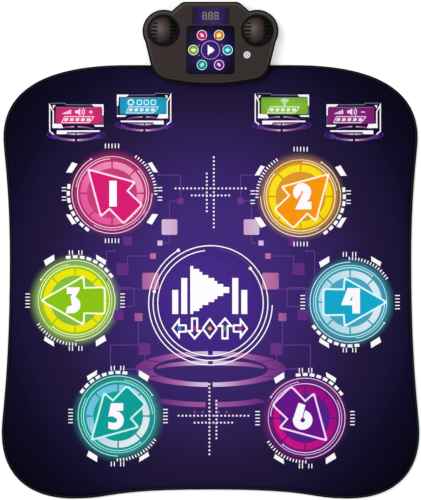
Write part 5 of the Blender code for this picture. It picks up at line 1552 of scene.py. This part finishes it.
class DANCEMAT_OT_grilles(bpy.types.Operator):
    """Make the domed speaker grilles with slats on both sides of a plain band"""

    bl_idname = "dance_mat.grilles"
    bl_label = "Speaker grilles"

    def execute(self, context):
        for name in ("left_grille", "right_grille"):
            x, y, top = spot(name)
            # Black ABS with a little shine, a painted highlight on the crown toward the upper left, and
            # painted shade near black where the rim falls away
            plastic, tree, shader = new_material(
                name + "_abs", "1A1211", 0.34, IOR=1.53, Specular_IOR_Level=0.1
            )
            crown = [(0.0, "6A5C5A"), (0.18, "564947"), (0.34, "453937"), (0.52, "362C2A")]
            crown += [(0.66, "180F10"), (0.82, "080404"), (1.0, "030101")]
            # Painted shade on the flange, which lies deep in its seat, where next to no light falls
            seat = [(0.0, "FFFFFF"), (0.72, "F0F0F0"), (0.86, "505050"), (0.92, "0A0A0A"), (1.0, "040404")]
            mix = {"Factor": 1.0}
            for side, stops, centre, radii in (
                (6, crown, (x - 7.5, y + 4.0, top), (50 / 1.3, 50, 50)),
                (7, seat, (x, y, top), (34.4, 34.4, 34.4)),
            ):
                share = {"Fac": share_out(tree, centre, radii)}
                mix[side] = add_node(tree, "ShaderNodeValToRGB", None, share, stops).outputs["Color"]
            mix = add_node(tree, "ShaderNodeMix", {"data_type": "RGBA", "blend_type": "MULTIPLY"}, mix)
            tree.links.new(mix.outputs[2], shader.inputs["Base Color"])
            add_grain(tree, shader, object_point(tree), 1.4, 0.2, 0.1)

            # A shallow dome on a flange, open underneath
            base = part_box(name)[0].z / MM
            flange = base + 1.5
            dome, rise, wall = 30.0, 4.5, 1.6
            ball = (dome**2 + rise**2) / (2 * rise)
            outer = []
            for k in range(12):
                r = dome * math.cos(math.radians(90 * k / 12))
                outer.append((r, flange + rise - ball + math.sqrt(ball**2 - r * r)))
            inner = [(r, z - wall) for r, z in outer[:0:-1]] + [(28.6, base)]
            rim = [(34.2, base), (34.4, base + 0.2), (34.4, flange - 0.3), (34.1, flange), (31.0, flange)]
            shape = loft([(circle(r, 96, x, y), z) for r, z in inner + rim + outer])
            grille = add_helper(name + "_dome", shape)

            # Slots on both sides of a plain band. The highest and the lowest are shallow grooves.
            slot_pitch, slot_width, slot_reach, band = 8.1, 3.4, 28.0, 13.0
            slots = bmesh.new()
            for row in range(-3, 4):
                row_y = row * slot_pitch
                far = math.sqrt(slot_reach**2 - row_y**2)
                low, high = base - 4, base + 16
                if abs(row) == 3:
                    groove = rounded(2 * far - 4, slot_width, 1.6, x, y + row_y, 4)
                    slab(slots, groove, flange + 1.0, high)
                    continue
                for side in (-1, 1):
                    middle = x + side * (band + far) / 2
                    slab(slots, rounded(far - band, slot_width, 1.6, middle, y + row_y, 4), low, high)
            helper = add_helper("slots", slots)
            cut(grille, helper)
            soften_edges(grille, 0.0006)
            mesh = evaluated_copy(grille, name)
            clear_helpers([helper])
            finish_mesh(name + "_slatted", mesh, plastic, "mat", [name], "grille_plastic", 35, True)
        return {"FINISHED"}


# Segments of a display digit, as the ends of each
SEGMENTS = (
    ((-1, 2), (1, 2)),
    ((1, 2), (1, 0)),
    ((1, 0), (1, -2)),
    ((1, -2), (-1, -2)),
    ((-1, -2), (-1, 0)),
    ((-1, 0), (-1, 2)),
    ((-1, 0), (1, 0)),
)


class DANCEMAT_OT_windows(bpy.types.Operator):
    """Make the display with its unlit digits and the printed picture panel"""

    bl_idname = "dance_mat.windows"
    bl_label = "Display and picture panel"

    def execute(self, context):
        settings = context.scene.dance_mat_print
        ink = settings.ink_height / MM
        x, y, top = spot("display_lens")
        # Smoked acrylic with a printed back: glossy and deep.
        lens, tree, shader = new_material("smoked_acrylic", "2E1D62", 0.14, IOR=1.49, Specular_IOR_Level=0.2)
        stops = [(0.0, "1E1628"), (0.1, "22173C"), (0.22, "2A1A5C"), (0.42, "33245A"), (0.58, "3A2B60")]
        stops += [(0.8, "2C1B60"), (0.92, "231840"), (1.0, "1E1628")]
        spread_tint(tree, shader, share_along(tree, (x - 40, y, top), (x + 40, y, top)), stops)
        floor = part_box("display_lens")[0].z / MM
        rings = [(0.0, 3.0, floor), (0.0, 3.0, top - 0.3), (0.5, 2.7, top)]
        shape = loft([(rounded(79.0 - i, 35.0 - i, r, x, y), z) for i, r, z in rings])
        finish_piece("display_window", shape, lens, "mat", ["display_lens"], "smoked_acrylic", 30)
        # Unlit segments show as dull grey through the smoked window.
        shape = bmesh.new()
        digit_pitch, across, up, short = 12.6, 3.7, 3.5, 0.08
        for k in (-1, 0, 1):
            middle = x + k * digit_pitch
            for (ax, ay), (bx, by) in SEGMENTS:
                # Each segment stops short of its corners
                cut_x, cut_y = (bx - ax) * short, (by - ay) * short
                start = (middle + (ax + cut_x) * across, y + (ay + cut_y) * up)
                end = (middle + (bx - cut_x) * across, y + (by - cut_y) * up)
                line(shape, start, end, 2.0, top - 0.05, top + 0.03)
            dot(shape, middle + 5.9, y - 7.4, 0.8, top - 0.05, top + 0.03)
        segment = plain_finish("unlit_segments", "948870", 0.4, 2.0, 0.05)
        finish_piece("display_digits", shape, segment, "mat")

        x, y, top = spot("panel_lens")
        # Clear acrylic printed on its back: glossy, and lit a little in the middle.
        panel, tree, shader = new_material(
            "printed_acrylic", "26185E", 0.16, IOR=1.49, Specular_IOR_Level=0.15
        )
        stops = [(0.0, "3E1E72"), (0.35, "2C1660"), (0.65, "140A36"), (1.0, "020108")]
        spread_tint(tree, shader, share_out(tree, (x, y, top), (70, 70, 70)), stops, 0.05)
        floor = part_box("panel_lens")[0].z / MM
        outline = rounded(108.0, 108.5, 10.0, x, y)
        shape = loft([(outline, floor), (outline, top)])
        finish_piece("picture_panel", shape, panel, "mat", ["panel_lens"], "printed_acrylic", 30)

        low, high = top - 0.05, top + ink
        # A lamp for each pad in the pad's own colours, round a play figure
        white = screen_ink("panel_white_ink", "F6F4FA", 0.2)
        lines, figure, dots = bmesh.new(), bmesh.new(), bmesh.new()
        lamps = zip(PAD_INKS.items(), (120, 60, 180, 0, 240, 300))
        for k, ((name, (_, _, core_code, ring_code, *_)), angle) in enumerate(lamps, 1):
            at = on_circle(x, y, 36.9, angle)
            ring, core = bmesh.new(), bmesh.new()
            arc_line(ring, *at, 10.1, 0, 360, 1.7, low, high)
            slab(ring, moved(ARROW, *at, 0.16, PAD_ANGLES[name]), low, high + 0.08)
            finish_piece(f"panel_ring_{k}", ring, screen_ink(f"panel_ring_ink_{k}", ring_code, 0.12), "mat")
            dot(core, *at, 7.4, low, high, 40)
            finish_piece(f"panel_dot_{k}", core, screen_ink(f"panel_dot_ink_{k}", core_code, 0.12), "mat")
        arc_line(lines, x, y, 19.6, 0, 360, 1.3, low, high)
        finish_piece("panel_lines", lines, screen_ink("panel_line_ink", "B49AE0", 0.12), "mat")
        for angle, size in ((66, 2.3), (114, 2.3), (22, 2.0), (158, 2.0), (204, 1.5), (336, 1.5)):
            dot(dots, *on_circle(x, y, 27.0, angle), size, low, high, 14)
        finish_piece("panel_dots", dots, screen_ink("panel_pink_ink", "B0509C", 0.1), "mat")
        play = ["1" * n + "0" * (6 - n) for n in (1, 2, 4, 5, 6, 5, 4, 2, 1)]
        pixel_figure(figure, play, x + 1.2, y, 2.4, low, high)
        finish_piece("panel_figures", figure, white, "mat")
        return {"FINISHED"}


class DANCEMAT_OT_button(bpy.types.Operator):
    """Make the power button with its printed mark"""

    bl_idname = "dance_mat.button"
    bl_label = "Power button"

    def execute(self, context):
        x, y, top = spot("power_button")
        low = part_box("power_button")[0].z / MM
        white = moulded_plastic("white_abs", "ECEAEE", 0.3, 1.0, "D8D6DC")
        flange = CONSOLE_TOP - 2.5
        profile = [(2.2, low), (2.2, flange - 1.7), (9.5, flange - 1.7), (9.5, flange), (7.4, flange)]
        profile += [(7.4, top - 1.0), (7.2, top - 0.5), (6.8, top - 0.15), (6.2, top), (5.0, top - 0.15)]
        profile += [(2.0, top - 0.35)]
        shape = loft([(circle(r, 64, x, y), z) for r, z in profile])
        finish_piece("power_cap", shape, white, "power_button", ["power_button"], "white_button", 40)
        mark = bmesh.new()
        at = top - 0.33
        arc_line(mark, x, y, 3.5, 125, 415, 1.2, at - 0.1, at + 0.12)
        line(mark, (x, y + 0.4), (x, y + 4.8), 1.2, at - 0.1, at + 0.14)
        finish_piece("power_mark", mark, plain_finish("grey_ink", "545074", 0.5, 1.0, 0.05), "power_button")
        return {"FINISHED"}


class DANCEMAT_OT_inner(bpy.types.Operator):
    """Finish the pieces inside, and give each piece that squashes under the pads and keys a mesh of its own
    """

    bl_idname = "dance_mat.inner"
    bl_label = "Inner pieces"

    def execute(self, context):
        finishes = {
            # Closed-cell foam: dull and slightly pitted.
            "foam": plain_finish("closed_cell_foam", "2C2C34", 0.95, 1.8, 0.8),
            # Polyester film with a metallic print on it.
            "film": plain_finish("polyester_film", "B8A060", 0.35, 5.0, 0.05, IOR=1.6),
            "guide": plain_finish("milky_acrylic", "E8E8F0", 0.25, 4.0, 0.05, IOR=1.49),
            "cone": plain_finish("pressed_paper", "151515", 0.85, 1.0, 0.6),
            "board": plain_finish("solder_mask", "1E5A32", 0.35, 2.5, 0.2, Coat_Weight=0.3),
            "baffle": plain_finish("white_polystyrene", "D8D8D8", 0.5, 2.0, 0.1),
            "module": plain_finish("epoxy_module", "23202A", 0.5, 2.0, 0.1),
            "silicone": plain_finish("silicone_rubber", "B0B0B0", 0.6, 2.0, 0.1),
            # Painted steel jacket of a dry cell.
            "cell": plain_finish("cell_jacket", "B8B4A8", 0.35, 3.0, 0.05, Metallic=0.6),
            "nickel": plain_finish("nickel_strip", "C8C8C4", 0.25, 1.0, 0.05, Metallic=1.0),
            # Zinc-plated steel: bright with a faint yellow cast.
            "zinc": plain_finish("zinc_plate", "A8A6A0", 0.32, 0.8, 0.1, Metallic=1.0),
        }
        kinds = {
            "foam_core": "foam",
            "spacer_foam": "foam",
            "circuit_film": "film",
            "main_board": "board",
            "light_baffle": "baffle",
            "digit_display": "module",
        }
        ends = {
            "_light_guide": "guide",
            "_speaker": "cone",
            "_contact_plate": "nickel",
        }
        for name, node in NODES.items():
            kind = kinds.get(name)
            kind = kind or next((k for end, k in ends.items() if name.endswith(end)), None)
            kind = "cell" if name.startswith("battery_cell") else kind
            kind = "zinc" if "screw" in name else kind
            if kind:
                node.data.materials.clear()
                node.data.materials.append(finishes[kind])
        squashed = [(j["name"], j["deforming_nodes"][0]) for j in frame["joints"] if "deforming_nodes" in j]
        for joint, deforming in squashed:
            name = deforming["node"]
            kind = "silicone" if "sleeve" in name else "foam"
            mesh = NODES[name].data.copy()
            piece = finish_mesh(name + "_soft", mesh, finishes[kind], "mat", [name], kind)
            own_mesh(piece)
        return {"FINISHED"}


class DANCEMAT_OT_stage(bpy.types.Operator):
    """Make the floor, the lamps and the camera"""

    bl_idname = "dance_mat.stage"
    bl_label = "Stage"

    def execute(self, context):
        settings = context.scene.dance_mat_stage
        scene = context.scene
        floor, tree, shader = new_material("studio_paper", "F4F4F4", 0.9)
        shader.inputs["Specular IOR Level"].default_value = 0.1
        # The paper reads as white to the camera and in reflections, and still takes the shadow
        paths = add_node(tree, "ShaderNodeLightPath").outputs
        seen = paths["Is Camera Ray"]
        for kind in ("Is Glossy Ray", "Is Transmission Ray"):
            either = {0: seen, 1: paths[kind]}
            seen = add_node(tree, "ShaderNodeMath", {"operation": "MAXIMUM"}, either).outputs["Value"]
        lift = add_node(tree, "ShaderNodeMath", {"operation": "MULTIPLY"}, {0: seen, 1: settings.floor_lift})
        tree.links.new(lift.outputs["Value"], shader.inputs["Emission Strength"])
        shader.inputs["Emission Color"].default_value = (1, 1, 1, 1)
        shape = bmesh.new()
        bmesh.ops.create_grid(shape, x_segments=1, y_segments=1, size=12.0)
        for vertex in shape.verts:
            vertex.co.z = -0.0004
        mesh = bpy.data.meshes.new("floor")
        shape.to_mesh(mesh)
        shape.free()
        mesh.materials.append(floor)
        add_object("floor", mesh)

        world = bpy.data.worlds.new("soft studio")
        world.use_nodes = True
        tree = world.node_tree
        background = tree.nodes["Background"]
        # A soft sky that is white at the horizon and dimmer overhead, so that dark print stays dark
        background.inputs["Color"].default_value = (1.0, 1.0, 1.0, 1.0)
        ray = add_node(tree, "ShaderNodeTexCoord").outputs["Generated"]
        up = add_node(tree, "ShaderNodeSeparateXYZ", None, {"Vector": ray}).outputs["Z"]
        limits = {"From Min": 0.0, "From Max": 1.0, "To Min": 1.0, "To Max": settings.sky_overhead}
        level = add_node(tree, "ShaderNodeMapRange", None, {"Value": up, **limits}).outputs["Result"]
        tree.links.new(level, background.inputs["Strength"])
        scene.world = world

        lamps = (
            ("key", (-2.6, 2.2, 4.6), 3.0, settings.key_power),
            ("fill", (3.0, -1.8, 4.0), 3.4, settings.fill_power),
            ("softbox", (-0.5, 0.55, 3.0), 0.5, settings.softbox_power),
        )
        for name, place, size, power in lamps:
            data = bpy.data.lights.new(name, "AREA")
            data.size = size
            data.energy = power
            lamp = add_object(name, data)
            lamp.location = place
            lamp.rotation_euler = (-Vector(place)).to_track_quat("-Z", "Y").to_euler()

        # Straight above the mat, as in the photograph
        camera = add_object("camera", bpy.data.cameras.new("camera"))
        camera.data.lens = settings.lens
        camera.data.sensor_width = 36.0
        camera.data.clip_end = 40.0
        camera.location = (0.0, 0.00075, settings.camera_height)
        scene.camera = camera
        scene.view_settings.view_transform = "Standard"
        return {"FINISHED"}


class DANCEMAT_PT_panel(bpy.types.Panel):
    """Sidebar panel with the settings and one button for each group of pieces"""

    bl_label = "Dance mat"
    bl_idname = "DANCEMAT_PT_panel"
    bl_space_type = "VIEW_3D"
    bl_region_type = "UI"
    bl_category = "Dance mat"

    def draw(self, context):
        scene = context.scene
        for name in GROUPS:
            group = getattr(scene, name)
            box = self.layout.box()
            for setting in group.__annotations__:
                box.prop(group, setting)
        for operator in OPERATORS:
            self.layout.operator(operator.bl_idname)


OPERATORS = (
    DANCEMAT_OT_stage,
    DANCEMAT_OT_cover,
    DANCEMAT_OT_base,
    DANCEMAT_OT_binding,
    DANCEMAT_OT_pads,
    DANCEMAT_OT_centre,
    DANCEMAT_OT_keys,
    DANCEMAT_OT_figures,
    DANCEMAT_OT_shells,
    DANCEMAT_OT_grilles,
    DANCEMAT_OT_windows,
    DANCEMAT_OT_button,
    DANCEMAT_OT_inner,
)
GROUPS = {
    "dance_mat": MatSettings,
    "dance_mat_print": PrintSettings,
    "dance_mat_console": ConsoleSettings,
    "dance_mat_stage": StageSettings,
}


def register():
    for group in (*GROUPS.values(), *OPERATORS, DANCEMAT_PT_panel):
        bpy.utils.register_class(group)
    for name, group in GROUPS.items():
        setattr(bpy.types.Scene, name, PointerProperty(type=group))


def unregister():
    for name in GROUPS:
        delattr(bpy.types.Scene, name)
    for group in (DANCEMAT_PT_panel, *reversed(OPERATORS), *GROUPS.values()):
        bpy.utils.unregister_class(group)


def main():
    register()
    for operator in OPERATORS:
        module, name = operator.bl_idname.split(".")
        getattr(getattr(bpy.ops, module), name)()


if __name__ == "__main__":
    main()
